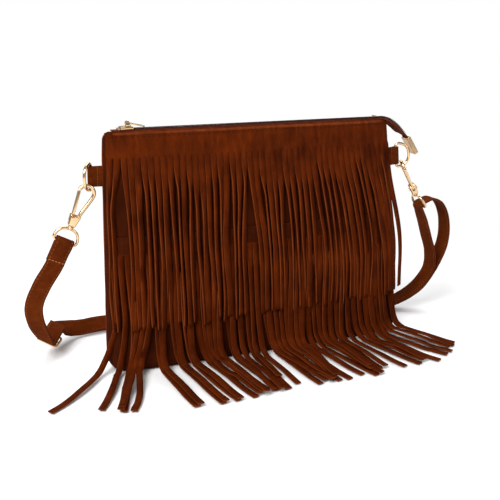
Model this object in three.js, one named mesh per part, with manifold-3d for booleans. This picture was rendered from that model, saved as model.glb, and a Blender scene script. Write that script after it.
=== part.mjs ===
// A crossbody clutch of brown suede: a zipped pouch with two layers of cut fringe on its front, and a strap
// that clips to a ring at each side. Millimetres, +Z up, +X along the width, the front faces -Y.
// The origin is the middle of the base, on the floor.

import * as THREE from "three";
import { mergeVertices } from "three/addons/utils/BufferGeometryUtils.js";
import Module from "manifold-3d";

const wasm = await Module();
wasm.setup();

// Pouch
const bagHeight = 209;
const topWidth = 270;
const baseWidth = 294;
const baseLean = 7; // how far the base sits to the right of the top
const topHalfDepth = 6;
const baseHalfDepth = 20;
const bulge = 4;
const flankPower = 8; // how square the ends of a level section are
const baseEdgeRadius = 9;
const baseCornerRadius = 14;
const topCornerRadius = 6;
const suede = 1.6;
const liningThickness = 0.6;
const liningDrop = 5.5; // from the rim down to the lining's mouth
const seamGap = 0.2; // half the gap between front and back
const baseSeam = 4; // how far behind the middle the two panels meet below
const clearance = 0.3;

// Zip
const teethInner = 0.9;
const teethOuter = 2.8;
const teethHeight = 1.8;
const tapeWidth = 1.3;
const tapeThickness = 0.8;
const tapeLegLength = 5; // below the rim
const tapeLegMargin = 28; // from the rim's corner
const tapeStartMargin = 4.1; // from the rim's left corner
const zipStartMargin = 15; // from the rim's left corner
const zipEndMargin = 12; // from the rim's right corner
const sliderLength = 11;
const sliderPlate = 1;
const sliderHalfWidth = 3;
const stopLength = 1.8;
const pullLength = 15;
const pullWidth = 5;
const pullThickness = 1.2;
const bailHeight = 3.6;
const bailWire = 1.2;
const capLength = 19;
const capWall = 0.9;
const capPocket = 7;

// Fringe
const stripCount = 48;
const stripCut = 0.6; // width of the cut between two strips
const fringeThickness = 1.2;
const fringeGap = 0.8;
const fringeEdge = 0.985; // share of the half width that the fringe covers
const bandHeight = 19;
const upperEnd = 40; // height of the upper strips' ends
const lowerTop = 122;
const lowerBand = 14;
const lowerStripLength = 162;
const lowerLeaves = 27; // height at which the lower strips leave the front
const fanLeft = -26;
const fanRight = 32;

// Side hardware
const wire = 2.6;
const dHalfBar = 11.2;
const dDepth = 12.5;
const ringBelowRim = 35.4; // from the rim down to the D-rings' middle
const tabWidth = 18.2;
const tabReach = 10; // from the side seam to the bar
const leftSwing = 55; // degrees that the left D-ring is turned forward
const rightSwing = 15;

// Snap hooks
const hookWire = 3.2;
const bowRadius = 6.4;
const bowHeight = 30; // from the swivel face to the middle of the bow
const hookBase = 10;
const hookBaseLeft = -5;
const hookBaseRight = 4;
const hookDepth = 6.4;
const gateThickness = 2;
const gateWidth = 2.6;
const rivetX = -2.4;
const rivetZ = 7;
const rivetRadius = 1;
const swivelHole = 1.7;
const swivelPocket = 2.5;
const hookTilt = 27.4;
const rightHookTilt = 28.7;
const rightHookTurn = 70; // the right hook is turned side-on

// Strap
const strapWidth = 15.4;
const strapThickness = 2;
const ringWire = 2.4;
const ringSpare = 1.3; // beside the strap in its ring
const ringDepth = 12;
const ringDrop = 14.5; // from the hook's swivel face to the ring's bar
const buckleHalfLength = 9.5;
const buckleWire = 2.2;

const radians = THREE.MathUtils.degToRad;
const lerp = THREE.MathUtils.lerp;
const vec = (x, y, z) => new THREE.Vector3(x, y, z);

const suedeLook = new THREE.MeshStandardMaterial({ color: 0x6a2c0c, roughness: 0.95, metalness: 0 });
const fringeLook = new THREE.MeshStandardMaterial({ color: 0x642809, roughness: 0.95, metalness: 0 });
const strapLook = new THREE.MeshStandardMaterial({ color: 0x7a3a14, roughness: 0.9, metalness: 0 });
const liningLook = new THREE.MeshStandardMaterial({ color: 0x8a6a4a, roughness: 0.9, metalness: 0 });
const tapeLook = new THREE.MeshStandardMaterial({ color: 0x2e0f0a, roughness: 0.85, metalness: 0 });
const goldLook = new THREE.MeshStandardMaterial({ color: 0xe8c88c, roughness: 0.25, metalness: 1 });

const bag = new THREE.Group();

function addMesh(name, geometry, material, parent = bag) {
  const mesh = new THREE.Mesh(geometry, material.clone());
  mesh.name = name;
  parent.add(mesh);
  return mesh;
}

// Booleans

function solid(geometry) {
  const plain = geometry.index ? geometry.toNonIndexed() : geometry.clone();
  plain.deleteAttribute("normal");
  plain.deleteAttribute("uv");
  const merged = mergeVertices(plain, 1e-4);
  return new wasm.Manifold(
    new wasm.Mesh({
      numProp: 3,
      vertProperties: merged.attributes.position.array,
      triVerts: new Uint32Array(merged.index.array),
    }),
  );
}

function geometryOf(body) {
  const mesh = body.getMesh();
  return new THREE.BufferGeometry()
    .setAttribute("position", new THREE.BufferAttribute(mesh.vertProperties, 3))
    .setIndex(new THREE.BufferAttribute(mesh.triVerts, 1));
}

function join(...geometries) {
  return geometryOf(geometries.map(solid).reduce((sum, next) => sum.add(next)));
}

function cut(geometry, ...tools) {
  return geometryOf(tools.map(solid).reduce((rest, tool) => rest.subtract(tool), solid(geometry)));
}

// Simple shapes

function block(x0, x1, y0, y1, z0, z1) {
  return new THREE.BoxGeometry(x1 - x0, y1 - y0, z1 - z0).translate((x0 + x1) / 2, (y0 + y1) / 2, (z0 + z1) / 2);
}

function roundBar(radius, from, to, sides = 12) {
  const along = to.clone().sub(from);
  const turn = new THREE.Quaternion().setFromUnitVectors(vec(0, 1, 0), along.clone().normalize());
  return new THREE.CylinderGeometry(radius, radius, along.length(), sides)
    .applyQuaternion(turn)
    .translate(...from.clone().add(to).multiplyScalar(0.5).toArray());
}

// An outline in X and Z, given a thickness along Y.
function plate(shape, thickness) {
  return new THREE.ExtrudeGeometry(shape, { depth: thickness, bevelEnabled: false, curveSegments: 8 })
    .rotateX(Math.PI / 2)
    .translate(0, thickness / 2, 0);
}

// A sheet with an outer and an inner face, walled where an edge of a cell has no neighbour.
// Each cell names four points [column, row] in order round its outer face.
function thickSheet(cells, outerAt, innerAt) {
  const outer = [];
  const inner = [];
  const known = new Map();
  function corner([column, row]) {
    const point = outerAt(column, row);
    const key = point.toArray().map((value) => value.toFixed(3)).join();
    if (!known.has(key)) {
      known.set(key, outer.length);
      outer.push(point);
      inner.push(innerAt(column, row));
    }
    return known.get(key);
  }
  const corners = cells.map((cell) => cell.map(corner));
  const below = outer.length;
  const index = [];
  const edges = new Map();
  function face(a, b, c) {
    if (a !== b && b !== c && c !== a) index.push(a, b, c);
  }
  for (const [a, b, c, d] of corners) {
    face(a, b, c);
    face(a, c, d);
    face(below + a, below + c, below + b);
    face(below + a, below + d, below + c);
    for (const [from, to] of [[a, b], [b, c], [c, d], [d, a]]) {
      if (from === to) continue;
      if (!edges.delete(`${to} ${from}`)) edges.set(`${from} ${to}`, [from, to]);
    }
  }
  for (const [from, to] of edges.values()) {
    index.push(to, from, below + from, to, below + from, below + to);
  }
  const positions = [...outer, ...inner].flatMap((point) => point.toArray());
  return new THREE.BufferGeometry()
    .setAttribute("position", new THREE.Float32BufferAttribute(positions, 3))
    .setIndex(index);
}

// All cells between two columns and two rows, in front order or the other way round.
function gridCells(columns, rows, facesFront) {
  const cells = [];
  for (let i = 0; i < columns; i++) {
    for (let j = 0; j < rows; j++) {
      const cell = [[i, j], [i, j + 1], [i + 1, j + 1], [i + 1, j]];
      cells.push(facesFront ? cell : cell.reverse());
    }
  }
  return cells;
}

// A flat band of even width and thickness along stations { at, wide }, with a section wherever
// the way has turned or gone far enough.
function ribbon(stations, width, thickness, turnStep, longStep) {
  const fine = 40;
  const path = new THREE.CatmullRomCurve3(stations.map(({ at }) => at), false, "centripetal");
  const count = stations.length - 1;
  function sectionAt(i) {
    const share = i / (fine * count);
    const from = Math.min(count - 1, Math.floor(i / fine));
    const part = i / fine - from;
    const smooth = part * part * (3 - 2 * part);
    const along = path.getTangent(share);
    const wide = stations[from].wide.clone().lerp(stations[from + 1].wide, smooth);
    wide.addScaledVector(along, -wide.dot(along)).normalize();
    return { at: path.getPoint(share), along, wide };
  }
  const sections = [sectionAt(0)];
  for (let i = 1; i <= fine * count; i++) {
    const next = sectionAt(i);
    const last = sections.at(-1);
    const turned = next.along.angleTo(last.along) + next.wide.angleTo(last.wide);
    const gone = next.at.distanceTo(last.at);
    if (turned > turnStep || gone > longStep || i === fine * count) sections.push(next);
  }
  const rings = sections.map(({ at, along, wide }) => {
    const half = wide.clone().multiplyScalar(width / 2);
    const thick = wide.clone().cross(along).multiplyScalar(thickness / 2);
    return [[1, 1], [-1, 1], [-1, -1], [1, -1]].map(([across, out]) =>
      at.clone().addScaledVector(half, across).addScaledVector(thick, out),
    );
  });
  const index = [0, 1, 2, 0, 2, 3];
  for (let i = 0; i < rings.length - 1; i++) {
    for (let j = 0; j < 4; j++) {
      const a = 4 * i + j;
      const b = 4 * i + ((j + 1) % 4);
      index.push(a, a + 4, b, b, a + 4, b + 4);
    }
  }
  const last = 4 * (rings.length - 1);
  index.push(last, last + 2, last + 1, last, last + 3, last + 2);
  const positions = rings.flat().flatMap((point) => point.toArray());
  return new THREE.BufferGeometry()
    .setAttribute("position", new THREE.Float32BufferAttribute(positions, 3))
    .setIndex(index);
}

// A round bar bent to a D: the bar lies along X through the origin and the bow reaches to +Z.
function dLoop(halfBar, depth, thickness, segments) {
  const points = [-0.83, -0.5, 0, 0.5, 0.83, 0.9].map((share) => vec(halfBar * share, 0, 0));
  const arcSteps = 10;
  for (let i = 0; i <= arcSteps; i++) {
    const angle = radians(lerp(8, 172, i / arcSteps));
    const side = Math.cos(angle);
    points.push(vec(halfBar * Math.sign(side) * Math.abs(side) ** 0.8, 0, depth * Math.sin(angle) ** 0.8));
  }
  points.push(vec(-halfBar * 0.9, 0, 0));
  const path = new THREE.CatmullRomCurve3(points, true, "centripetal");
  return new THREE.TubeGeometry(path, segments, thickness / 2, 8, true);
}

// The pouch's surface

function halfWidth(z) {
  return lerp(baseWidth / 2, topWidth / 2, z / bagHeight);
}

function middleX(z) {
  return baseLean * (1 - z / bagHeight);
}

function halfDepth(z) {
  const up = z / bagHeight;
  return lerp(baseHalfDepth, topHalfDepth, up) + bulge * Math.sin(Math.PI * up);
}

function flank(across) {
  return Math.sqrt(Math.max(0, 1 - Math.abs(across) ** flankPower));
}

// Height of the lower edge, rounded up towards the two corners.
function baseAt(across, inset) {
  const reach = Math.abs(across) * (baseWidth / 2 - inset) - (baseWidth / 2 - baseCornerRadius);
  if (reach <= 0) return inset;
  return baseCornerRadius - Math.sqrt(Math.max(0, (baseCornerRadius - inset) ** 2 - reach ** 2));
}

// Height of the rim, rounded down towards the two corners.
function rimAt(across, inset) {
  const reach = Math.abs(across) * (topWidth / 2 - inset) - (topWidth / 2 - topCornerRadius);
  if (reach <= 0) return bagHeight;
  return bagHeight - topCornerRadius + Math.sqrt(topCornerRadius ** 2 - reach ** 2);
}

// A point of the surface that lies inset under the outside, at a row's { depth, z }.
function surface(across, row, inset, side, gap = seamGap) {
  const low = baseAt(across, inset);
  const z = low + ((row.z - inset) * (rimAt(across, inset) - low)) / (bagHeight - inset);
  const x = middleX(row.z) + (halfWidth(row.z) - inset) * across;
  return vec(x, side * (gap + row.depth * flank(across)), z);
}

// Rows from a height down the side, round the base's edge and along the base to a depth.
function bodyRows(inset, top, sideRows, endDepth) {
  const rows = [];
  for (let i = 0; i <= sideRows; i++) {
    const z = lerp(top, baseEdgeRadius, i / sideRows);
    rows.push({ depth: halfDepth(z) - inset, z });
  }
  const edgeRows = 3;
  for (let i = 1; i <= edgeRows; i++) {
    const angle = radians((90 * i) / edgeRows);
    const radius = baseEdgeRadius - inset;
    const middle = halfDepth(baseEdgeRadius) - baseEdgeRadius;
    rows.push({ depth: middle + radius * Math.cos(angle), z: baseEdgeRadius - radius * Math.sin(angle) });
  }
  rows.push({ depth: endDepth, z: inset });
  return rows;
}

const bodyColumns = 22;
const acrossAt = (column) => Math.sin((Math.PI / 2) * (-1 + (2 * column) / bodyColumns));

function panel(side, endDepth) {
  const outer = bodyRows(0, bagHeight, 8, endDepth);
  const inner = bodyRows(suede, bagHeight, 8, endDepth);
  return thickSheet(
    gridCells(bodyColumns, outer.length - 1, side < 0),
    (i, j) => surface(acrossAt(i), outer[j], 0, side),
    (i, j) => surface(acrossAt(i), inner[j], suede, side),
  );
}

function lining() {
  const outerInset = suede + clearance;
  const innerInset = outerInset + liningThickness;
  const outer = bodyRows(outerInset, bagHeight - liningDrop, 6, 0);
  const inner = bodyRows(innerInset, bagHeight - liningDrop, 6, 0);
  const half = bodyColumns;
  const sideOf = (i) => (i <= half ? -1 : 1);
  const across = (i) => acrossAt(i <= half ? i : 2 * half - i);
  return thickSheet(
    gridCells(2 * half, outer.length - 1, true),
    (i, j) => surface(across(i), outer[j], outerInset, sideOf(i), 0),
    (i, j) => surface(across(i), inner[j], innerInset, sideOf(i), 0),
  );
}

// Fringe

const stripEdges = [];
for (let i = 0; i < stripCount; i++) {
  const pitch = (2 * fringeEdge) / stripCount;
  const slot = stripCut / (topWidth / 2) / 2;
  stripEdges.push(-fringeEdge + i * pitch + slot, -fringeEdge + (i + 1) * pitch - slot);
}

// A comb: a band of whole cells over bandRows, then only every other column.
function comb(bandRows, rows, outerAt, innerAt) {
  const cells = gridCells(stripEdges.length - 1, rows, true).filter(
    ([[column, row]]) => row < bandRows || column % 2 === 0,
  );
  return thickSheet(cells, outerAt, innerAt);
}

function frontPoint(across, z, offset) {
  return surface(across, { depth: halfDepth(z), z }, 0, -1).add(vec(0, -offset, 0));
}

function upperFringe() {
  const cutTop = bagHeight - bandHeight;
  const liftOver = lowerTop + 28;
  const onLower = lowerTop + 2;
  const heights = [bagHeight - 1, cutTop, liftOver, onLower, lerp(onLower, upperEnd, 1 / 3), lerp(onLower, upperEnd, 2 / 3)];
  const overLower = fringeGap + fringeThickness + fringeGap;
  const rows = heights.length;
  function at(column, row, extra) {
    const strip = Math.floor(column / 2);
    const end = upperEnd + 2.5 * Math.sin(strip * 2.1) + 1.5 * Math.sin(strip * 5.3);
    const z = row < rows ? heights[row] : end;
    const lift = lerp(overLower, fringeGap, THREE.MathUtils.smootherstep(z, onLower, liftOver));
    return frontPoint(stripEdges[column], z, lift + extra);
  }
  return comb(1, rows, (i, j) => at(i, j, fringeThickness), (i, j) => at(i, j, 0));
}

function lowerFringe() {
  const cutTop = lowerTop - lowerBand;
  const arcRows = 4;
  const firstArc = 3;
  const middleLayer = fringeGap + fringeThickness / 2;
  const radius = lowerLeaves - fringeThickness / 2 - 0.05;
  const floorLength = lowerStripLength - (cutTop - lowerLeaves) - (radius * Math.PI) / 2;
  function at(column, row, extra) {
    const across = stripEdges[column];
    if (row <= firstArc) {
      const z = [lowerTop, cutTop, (cutTop + lowerLeaves) / 2, lowerLeaves][row];
      return frontPoint(across, z, middleLayer + extra);
    }
    const strip = Math.floor(column / 2);
    const middle = (stripEdges[2 * strip] + stripEdges[2 * strip + 1]) / 2;
    const start = frontPoint(across, lowerLeaves, middleLayer);
    const centre = frontPoint(middle, lowerLeaves, middleLayer);
    const fan = radians(middle < 0 ? -fanLeft * middle ** 3 : fanRight * middle ** 3);
    const bend = radians(90 * Math.min(1, (row - firstArc) / arcRows));
    const turned = fan * Math.sin(bend);
    const forward = vec(Math.sin(turned), -Math.cos(turned), 0);
    const wide = vec(Math.cos(turned), Math.sin(turned), 0);
    const out = forward.clone().multiplyScalar(Math.cos(bend)).add(vec(0, 0, Math.sin(bend)));
    const uneven = 3 * Math.sin(strip * 1.7) + 2 * Math.sin(strip * 4.1);
    const onFloor = row > firstArc + arcRows ? floorLength + uneven : 0;
    return centre
      .clone()
      .addScaledVector(wide, Math.sign(start.x - centre.x) * start.distanceTo(centre))
      .addScaledVector(forward, radius * (1 - Math.cos(bend)) + onFloor)
      .addScaledVector(vec(0, 0, -1), radius * Math.sin(bend))
      .addScaledVector(out, extra);
  }
  const half = fringeThickness / 2;
  return comb(1, firstArc + arcRows + 1, (i, j) => at(i, j, half), (i, j) => at(i, j, -half));
}

// Zip

const tapeStart = tapeStartMargin - topWidth / 2;
const zipStart = zipStartMargin - topWidth / 2;
const zipEnd = topWidth / 2 - zipEndMargin;
const tapeLegEnd = topWidth / 2 - tapeLegMargin;
const plateBottom = bagHeight + clearance;
const teethBottom = plateBottom + sliderPlate + clearance;
const teethTop = teethBottom + teethHeight;
const tapeInner = teethOuter + clearance;
const tailStations = [
  vec(zipEnd, 0, teethBottom),
  vec(zipEnd + 12, 0, teethBottom - 0.6),
  vec(zipEnd + 24, 0, teethBottom - 7.5),
  vec(zipEnd + 33.5, 0, teethBottom - 18),
  vec(zipEnd + 38, 0, teethBottom - 25),
];
const tailPath = new THREE.CatmullRomCurve3(tailStations, false, "centripetal");

// A strip along the zip and its tail, with a section from y0 to y1 and up to a height over the teeth's underside.
function zipStrip(start, y0, y1, height) {
  const tailSteps = 8;
  const frames = [{ at: vec(start, 0, teethBottom), up: vec(0, 0, 1) }];
  for (let i = 0; i <= tailSteps; i++) {
    const along = i === 0 ? vec(1, 0, 0) : tailPath.getTangentAt(i / tailSteps);
    frames.push({ at: tailPath.getPointAt(i / tailSteps), up: vec(-along.z, 0, along.x) });
  }
  return thickSheet(
    gridCells(frames.length - 1, 1, true),
    (i, j) => frames[i].at.clone().addScaledVector(frames[i].up, height).setY(j ? y0 : y1),
    (i, j) => frames[i].at.clone().setY(j ? y0 : y1),
  );
}

function zipTape(side) {
  const tapeOuter = tapeInner + tapeWidth;
  const ys = [side * tapeInner, side * tapeOuter].sort((a, b) => a - b);
  const legYs = [side * tapeInner, side * (tapeInner + tapeThickness)].sort((a, b) => a - b);
  const flat = zipStrip(tapeStart, ...ys, tapeThickness);
  const legTop = teethBottom + tapeThickness / 2;
  const leg = block(-tapeLegEnd, tapeLegEnd, ...legYs, bagHeight - tapeLegLength, legTop);
  return join(flat, leg);
}

function zipTeeth(side) {
  const ys = [side * teethInner, side * teethOuter].sort((a, b) => a - b);
  return zipStrip(zipStart, ...ys, teethHeight);
}

function zipStop(side) {
  const ys = [side * teethInner, side * (teethOuter + 0.1)].sort((a, b) => a - b);
  return block(zipStart - clearance - stopLength, zipStart - clearance, ...ys, teethBottom, teethTop + 0.3);
}

function zipEndStop() {
  const plateZ = teethTop + clearance;
  return join(
    block(zipEnd - 2, zipEnd, -teethOuter, teethOuter, plateZ, plateZ + 0.8),
    block(zipEnd - 2, zipEnd, -0.6, 0.6, teethBottom, plateZ + 0.4),
  );
}

const sliderLeft = zipStart;
const sliderTop = teethTop + clearance + sliderPlate;
const bailX = sliderLeft + sliderLength * 0.62;
const bailZ = sliderTop + bailHeight - bailWire / 2;

function zipSlider() {
  const right = sliderLeft + sliderLength;
  const under = block(sliderLeft, right, -sliderHalfWidth, sliderHalfWidth, plateBottom, plateBottom + sliderPlate);
  const flangeTop = teethBottom + tapeThickness + clearance;
  const wing = tapeInner + tapeWidth;
  const over = block(sliderLeft, right, -wing, wing, sliderTop - sliderPlate, sliderTop);
  const flanges = [-1, 1].map((side) => {
    const ys = [side * wing, side * tapeInner].sort((a, b) => a - b);
    return block(sliderLeft, right, ...ys, flangeTop, sliderTop - 0.2);
  });
  const post = block(sliderLeft, sliderLeft + 3, -0.6, 0.6, plateBottom + 0.2, sliderTop - 0.2);
  const bailHalf = pullWidth / 2 - 1;
  const bar = roundBar(bailWire / 2, vec(bailX, -bailHalf - 0.6, bailZ), vec(bailX, bailHalf + 0.6, bailZ));
  const legs = [-1, 1].map((side) => {
    const ys = [side * bailHalf, side * (bailHalf + 1)].sort((a, b) => a - b);
    return block(bailX - 1.6, bailX + 1.6, ...ys, sliderTop - 0.2, bailZ + bailWire / 2);
  });
  return join(under, over, ...flanges, post, bar, ...legs);
}

// The pull lies to the right of its hinge, and its round eye holds the slider's bar.
function zipPull() {
  const eyeRadius = bailWire / 2 + clearance + 0.9;
  const halfEye = pullWidth / 2 - 1 - clearance;
  const eye = roundBar(eyeRadius, vec(0, -halfEye, 0), vec(0, halfEye, 0), 16);
  const neck = block(eyeRadius - 0.6, eyeRadius + 2.4, -halfEye, halfEye, -pullThickness / 2, pullThickness / 2);
  const outline = new THREE.Shape();
  const start = eyeRadius + 1.6;
  const end = pullLength;
  const half = pullWidth / 2;
  outline.moveTo(start, -half + 0.8);
  outline.lineTo(end - half, -half);
  outline.absarc(end - half, 0, half, -Math.PI / 2, Math.PI / 2, false);
  outline.lineTo(start, half - 0.8);
  outline.closePath();
  const blade = new THREE.ExtrudeGeometry(outline, { depth: pullThickness, bevelEnabled: false, curveSegments: 6 })
    .translate(0, 0, -pullThickness / 2);
  const bore = roundBar(bailWire / 2 + clearance, vec(0, -halfEye - 1, 0), vec(0, halfEye + 1, 0), 16);
  return cut(join(eye, neck, blade), bore);
}

// The folded metal cap on the end of the tail, with a pocket for the two tapes.
function tailCap() {
  const halfY = tapeInner + tapeWidth + clearance + capWall;
  const halfZ = teethHeight / 2 + clearance + capWall;
  const outer = block(0, capLength, -halfY, halfY, -halfZ, halfZ);
  const pocket = block(-1, capPocket, -halfY + capWall, halfY - capWall, -halfZ + capWall, halfZ - capWall);
  return cut(outer, pocket);
}

function buildZip() {
  addMesh("zip_tape_front", zipTape(-1), tapeLook);
  addMesh("zip_tape_back", zipTape(1), tapeLook);
  addMesh("zip_teeth_front", zipTeeth(-1), tapeLook);
  addMesh("zip_teeth_back", zipTeeth(1), tapeLook);
  addMesh("zip_stop_front", zipStop(-1), goldLook);
  addMesh("zip_stop_back", zipStop(1), goldLook);
  addMesh("zip_end_stop", zipEndStop(), goldLook);
  addMesh("zip_slider", zipSlider(), goldLook);
  const pull = addMesh("zip_pull", zipPull(), goldLook);
  pull.position.set(bailX, 0, bailZ);
  const drop = bailZ - teethTop - clearance - pullThickness / 2;
  pull.rotation.y = Math.asin(drop / pullLength);
  const tailEnd = tailPath.getPointAt(1);
  const tailWay = tailPath.getTangentAt(1);
  const cap = addMesh("zip_tail_cap", tailCap(), goldLook);
  cap.rotation.y = Math.atan2(-tailWay.z, tailWay.x);
  const up = vec(-tailWay.z, 0, tailWay.x);
  cap.position.copy(tailEnd).addScaledVector(up, teethHeight / 2);
  cap.position.addScaledVector(tailWay, clearance - capPocket);
}

// Side tabs and D-rings

const ringHeight = bagHeight - ringBelowRim;

function sideX(side, z) {
  return middleX(z) + side * halfWidth(z);
}

// A frame on the side seam: X outward, Z up along the seam.
function sidePlace(side) {
  const place = new THREE.Group();
  place.position.set(sideX(side, ringHeight), 0, ringHeight);
  place.rotation.order = "YZX";
  place.rotation.y = Math.atan(sideX(side, ringHeight + 1) - sideX(side, ringHeight));
  place.rotation.z = side < 0 ? Math.PI : 0;
  bag.add(place);
  bag.updateMatrixWorld(true);
  return place;
}

// A suede loop that comes out of the side seam and folds round the D-ring's bar, outward along +X.
function tab() {
  const innerRadius = wire / 2 + clearance;
  const outerRadius = innerRadius + suede;
  const outline = new THREE.Shape();
  outline.moveTo(clearance, -suede);
  outline.lineTo(tabReach - 4, -suede);
  outline.lineTo(tabReach, -outerRadius);
  outline.absarc(tabReach, 0, outerRadius, -Math.PI / 2, Math.PI / 2, false);
  outline.lineTo(tabReach - 4, suede);
  outline.lineTo(clearance, suede);
  outline.closePath();
  const hole = new THREE.Path();
  hole.absarc(tabReach, 0, innerRadius, 0, 2 * Math.PI, true);
  outline.holes.push(hole);
  return new THREE.ExtrudeGeometry(outline, { depth: tabWidth, bevelEnabled: false, curveSegments: 8 })
    .translate(0, 0, -tabWidth / 2);
}

// Returns the point of the D-ring's lower corner where the hook hangs.
function buildSide(name, side, swing) {
  const place = sidePlace(side);
  const turned = radians(side < 0 ? swing : -swing);
  addMesh(`tab_${name}`, tab(), suedeLook, place);
  const ring = addMesh(`d_ring_${name}`, dLoop(dHalfBar, dDepth, wire, 28), goldLook, place);
  ring.position.x = tabReach;
  ring.rotation.order = "ZYX";
  ring.rotation.set(0, Math.PI / 2, turned);
  const reach = dDepth * 0.5;
  const low = -dHalfBar + 1.1;
  return place.localToWorld(vec(tabReach + reach * Math.cos(turned), reach * Math.sin(turned), low));
}

// Snap hooks: the swivel face at the origin, the bow up along +Z, the gate on the -X side.

function hookBody() {
  const depth = hookDepth / 2;
  const outline = new THREE.Shape();
  outline.moveTo(hookBaseLeft + 1.5, 0);
  outline.lineTo(hookBaseRight - 1.5, 0);
  outline.quadraticCurveTo(hookBaseRight, 0, hookBaseRight, 2);
  outline.lineTo(hookBaseRight, hookBase);
  outline.lineTo(hookBaseLeft + 0.6, hookBase);
  outline.quadraticCurveTo(hookBaseLeft, hookBase - 2, hookBaseLeft, 2);
  outline.quadraticCurveTo(hookBaseLeft, 0, hookBaseLeft + 1.5, 0);
  const points = [vec(2.3, 0, hookBase - 3), vec(2.9, 0, 13), vec(4.6, 0, 20), vec(5.9, 0, 26)];
  const arcSteps = 8;
  for (let i = 0; i <= arcSteps; i++) {
    const angle = radians(lerp(0, 172, i / arcSteps));
    points.push(vec(bowRadius * Math.cos(angle), 0, bowHeight + bowRadius * Math.sin(angle)));
  }
  const section = new THREE.Shape().absarc(0, 0, hookWire / 2, 0, 2 * Math.PI, false);
  const arm = new THREE.ExtrudeGeometry(section, {
    steps: 22,
    curveSegments: 4,
    bevelEnabled: false,
    extrudePath: new THREE.CatmullRomCurve3(points, false, "centripetal"),
  });
  const slot = block(hookBaseLeft - 1, 0.9, -gateThickness / 2 - clearance, gateThickness / 2 + clearance, 4.4, 12);
  const bore = roundBar(rivetRadius + clearance, vec(rivetX, -depth - 1, rivetZ), vec(rivetX, depth + 1, rivetZ));
  const pocket = roundBar(swivelPocket, vec(0, 0, 1.4), vec(0, 0, 3.4), 16);
  const hole = roundBar(swivelHole, vec(0, 0, -1), vec(0, 0, 2), 16);
  return cut(join(plate(outline, hookDepth), arm), slot, bore, pocket, hole);
}

function gate() {
  const tip = vec(bowRadius * Math.cos(radians(172)), 0, bowHeight + bowRadius * Math.sin(radians(172)));
  const lever = tip.clone().sub(vec(rivetX, 0, rivetZ));
  const reach = lever.length() - clearance - 0.6;
  const outline = new THREE.Shape();
  const half = gateWidth / 2;
  outline.absarc(0, 0, 2, Math.PI, 2 * Math.PI, false);
  outline.lineTo(half, 5);
  outline.lineTo(half, reach);
  outline.lineTo(-half, reach);
  outline.lineTo(-half, 5);
  outline.closePath();
  const bore = roundBar(rivetRadius + clearance, vec(0, -3, 0), vec(0, 3, 0));
  return cut(plate(outline, gateThickness).scale(1, 1, -1).scale(1, 1, -1), bore)
    .rotateY(Math.atan2(lever.x, lever.z))
    .translate(rivetX, 0, rivetZ);
}

function gateRivet() {
  const face = hookDepth / 2 + clearance;
  const parts = [roundBar(rivetRadius, vec(rivetX, -face - 0.4, rivetZ), vec(rivetX, face + 0.4, rivetZ))];
  for (const side of [-1, 1]) {
    parts.push(roundBar(1.8, vec(rivetX, side * face, rivetZ), vec(rivetX, side * (face + 0.7), rivetZ)));
  }
  return join(...parts);
}

// A bent leaf under the gate's hub and up its inner side.
function gateSpring() {
  return join(
    block(hookBaseLeft + 1, 0.55, -0.8, 0.8, 4.55, 4.85),
    block(0.25, 0.55, -0.8, 0.8, 4.6, 8.4),
  );
}

function strapRing() {
  const ringHalfBar = strapWidth / 2 + ringSpare + ringWire / 2;
  const loop = dLoop(ringHalfBar, ringDepth, ringWire, 28).translate(0, 0, -ringDrop);
  const stud = roundBar(1.3, vec(0, 0, ringDepth - ringDrop), vec(0, 0, 2.4));
  const collar = roundBar(2.4, vec(0, 0, ringDepth - ringDrop + 0.6), vec(0, 0, -clearance), 16);
  const head = roundBar(2.1, vec(0, 0, 1.7), vec(0, 0, 3), 16);
  return join(loop, stud, collar, head);
}

// tilt leans the bow to +X, turn swings the hook about its own length, ringTurn the strap's ring.
function buildHook(name, eye, tilt, turn, ringTurn) {
  const place = new THREE.Group();
  place.rotation.y = radians(tilt);
  const eyeHeight = bowHeight + bowRadius - hookWire / 2 - clearance - 0.05 - wire / 2;
  const up = vec(Math.sin(radians(tilt)), 0, Math.cos(radians(tilt)));
  place.position.copy(eye).addScaledVector(up, -eyeHeight);
  bag.add(place);
  const hook = new THREE.Group();
  hook.rotation.z = radians(turn);
  place.add(hook);
  addMesh(`hook_${name}`, hookBody(), goldLook, hook);
  addMesh(`gate_${name}`, gate(), goldLook, hook);
  addMesh(`gate_rivet_${name}`, gateRivet(), goldLook, hook);
  addMesh(`gate_spring_${name}`, gateSpring(), goldLook, hook);
  const ring = addMesh(`strap_ring_${name}`, strapRing(), goldLook, place);
  ring.rotation.z = radians(ringTurn);
  const down = up.clone().negate();
  return { bar: place.position.clone().addScaledVector(down, ringDrop), down };
}

// Strap: the points and the way of its width are chosen by hand.

const station = (x, y, z, wx, wy, wz) => ({ at: vec(x, y, z), wide: vec(wx, wy, wz).normalize() });

const buckleCentre = vec(-182, 50, 17);
const buckleAlong = vec(0.409, 0.912, 0.038).normalize();
const buckleWide = vec(0.823, -0.351, -0.446);
buckleWide.addScaledVector(buckleAlong, -buckleWide.dot(buckleAlong)).normalize();
const buckleUp = buckleWide.clone().cross(buckleAlong);

const singleRoute = [
  station(-181, -4, 102, 0.87, 0, -0.5),
  station(-192, -1, 84, 0.93, -0.05, -0.36),
  station(-198.5, 5, 66, 0.97, -0.1, -0.2),
  station(-196.5, 16, 46, 0.95, -0.22, -0.25),
];

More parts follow.
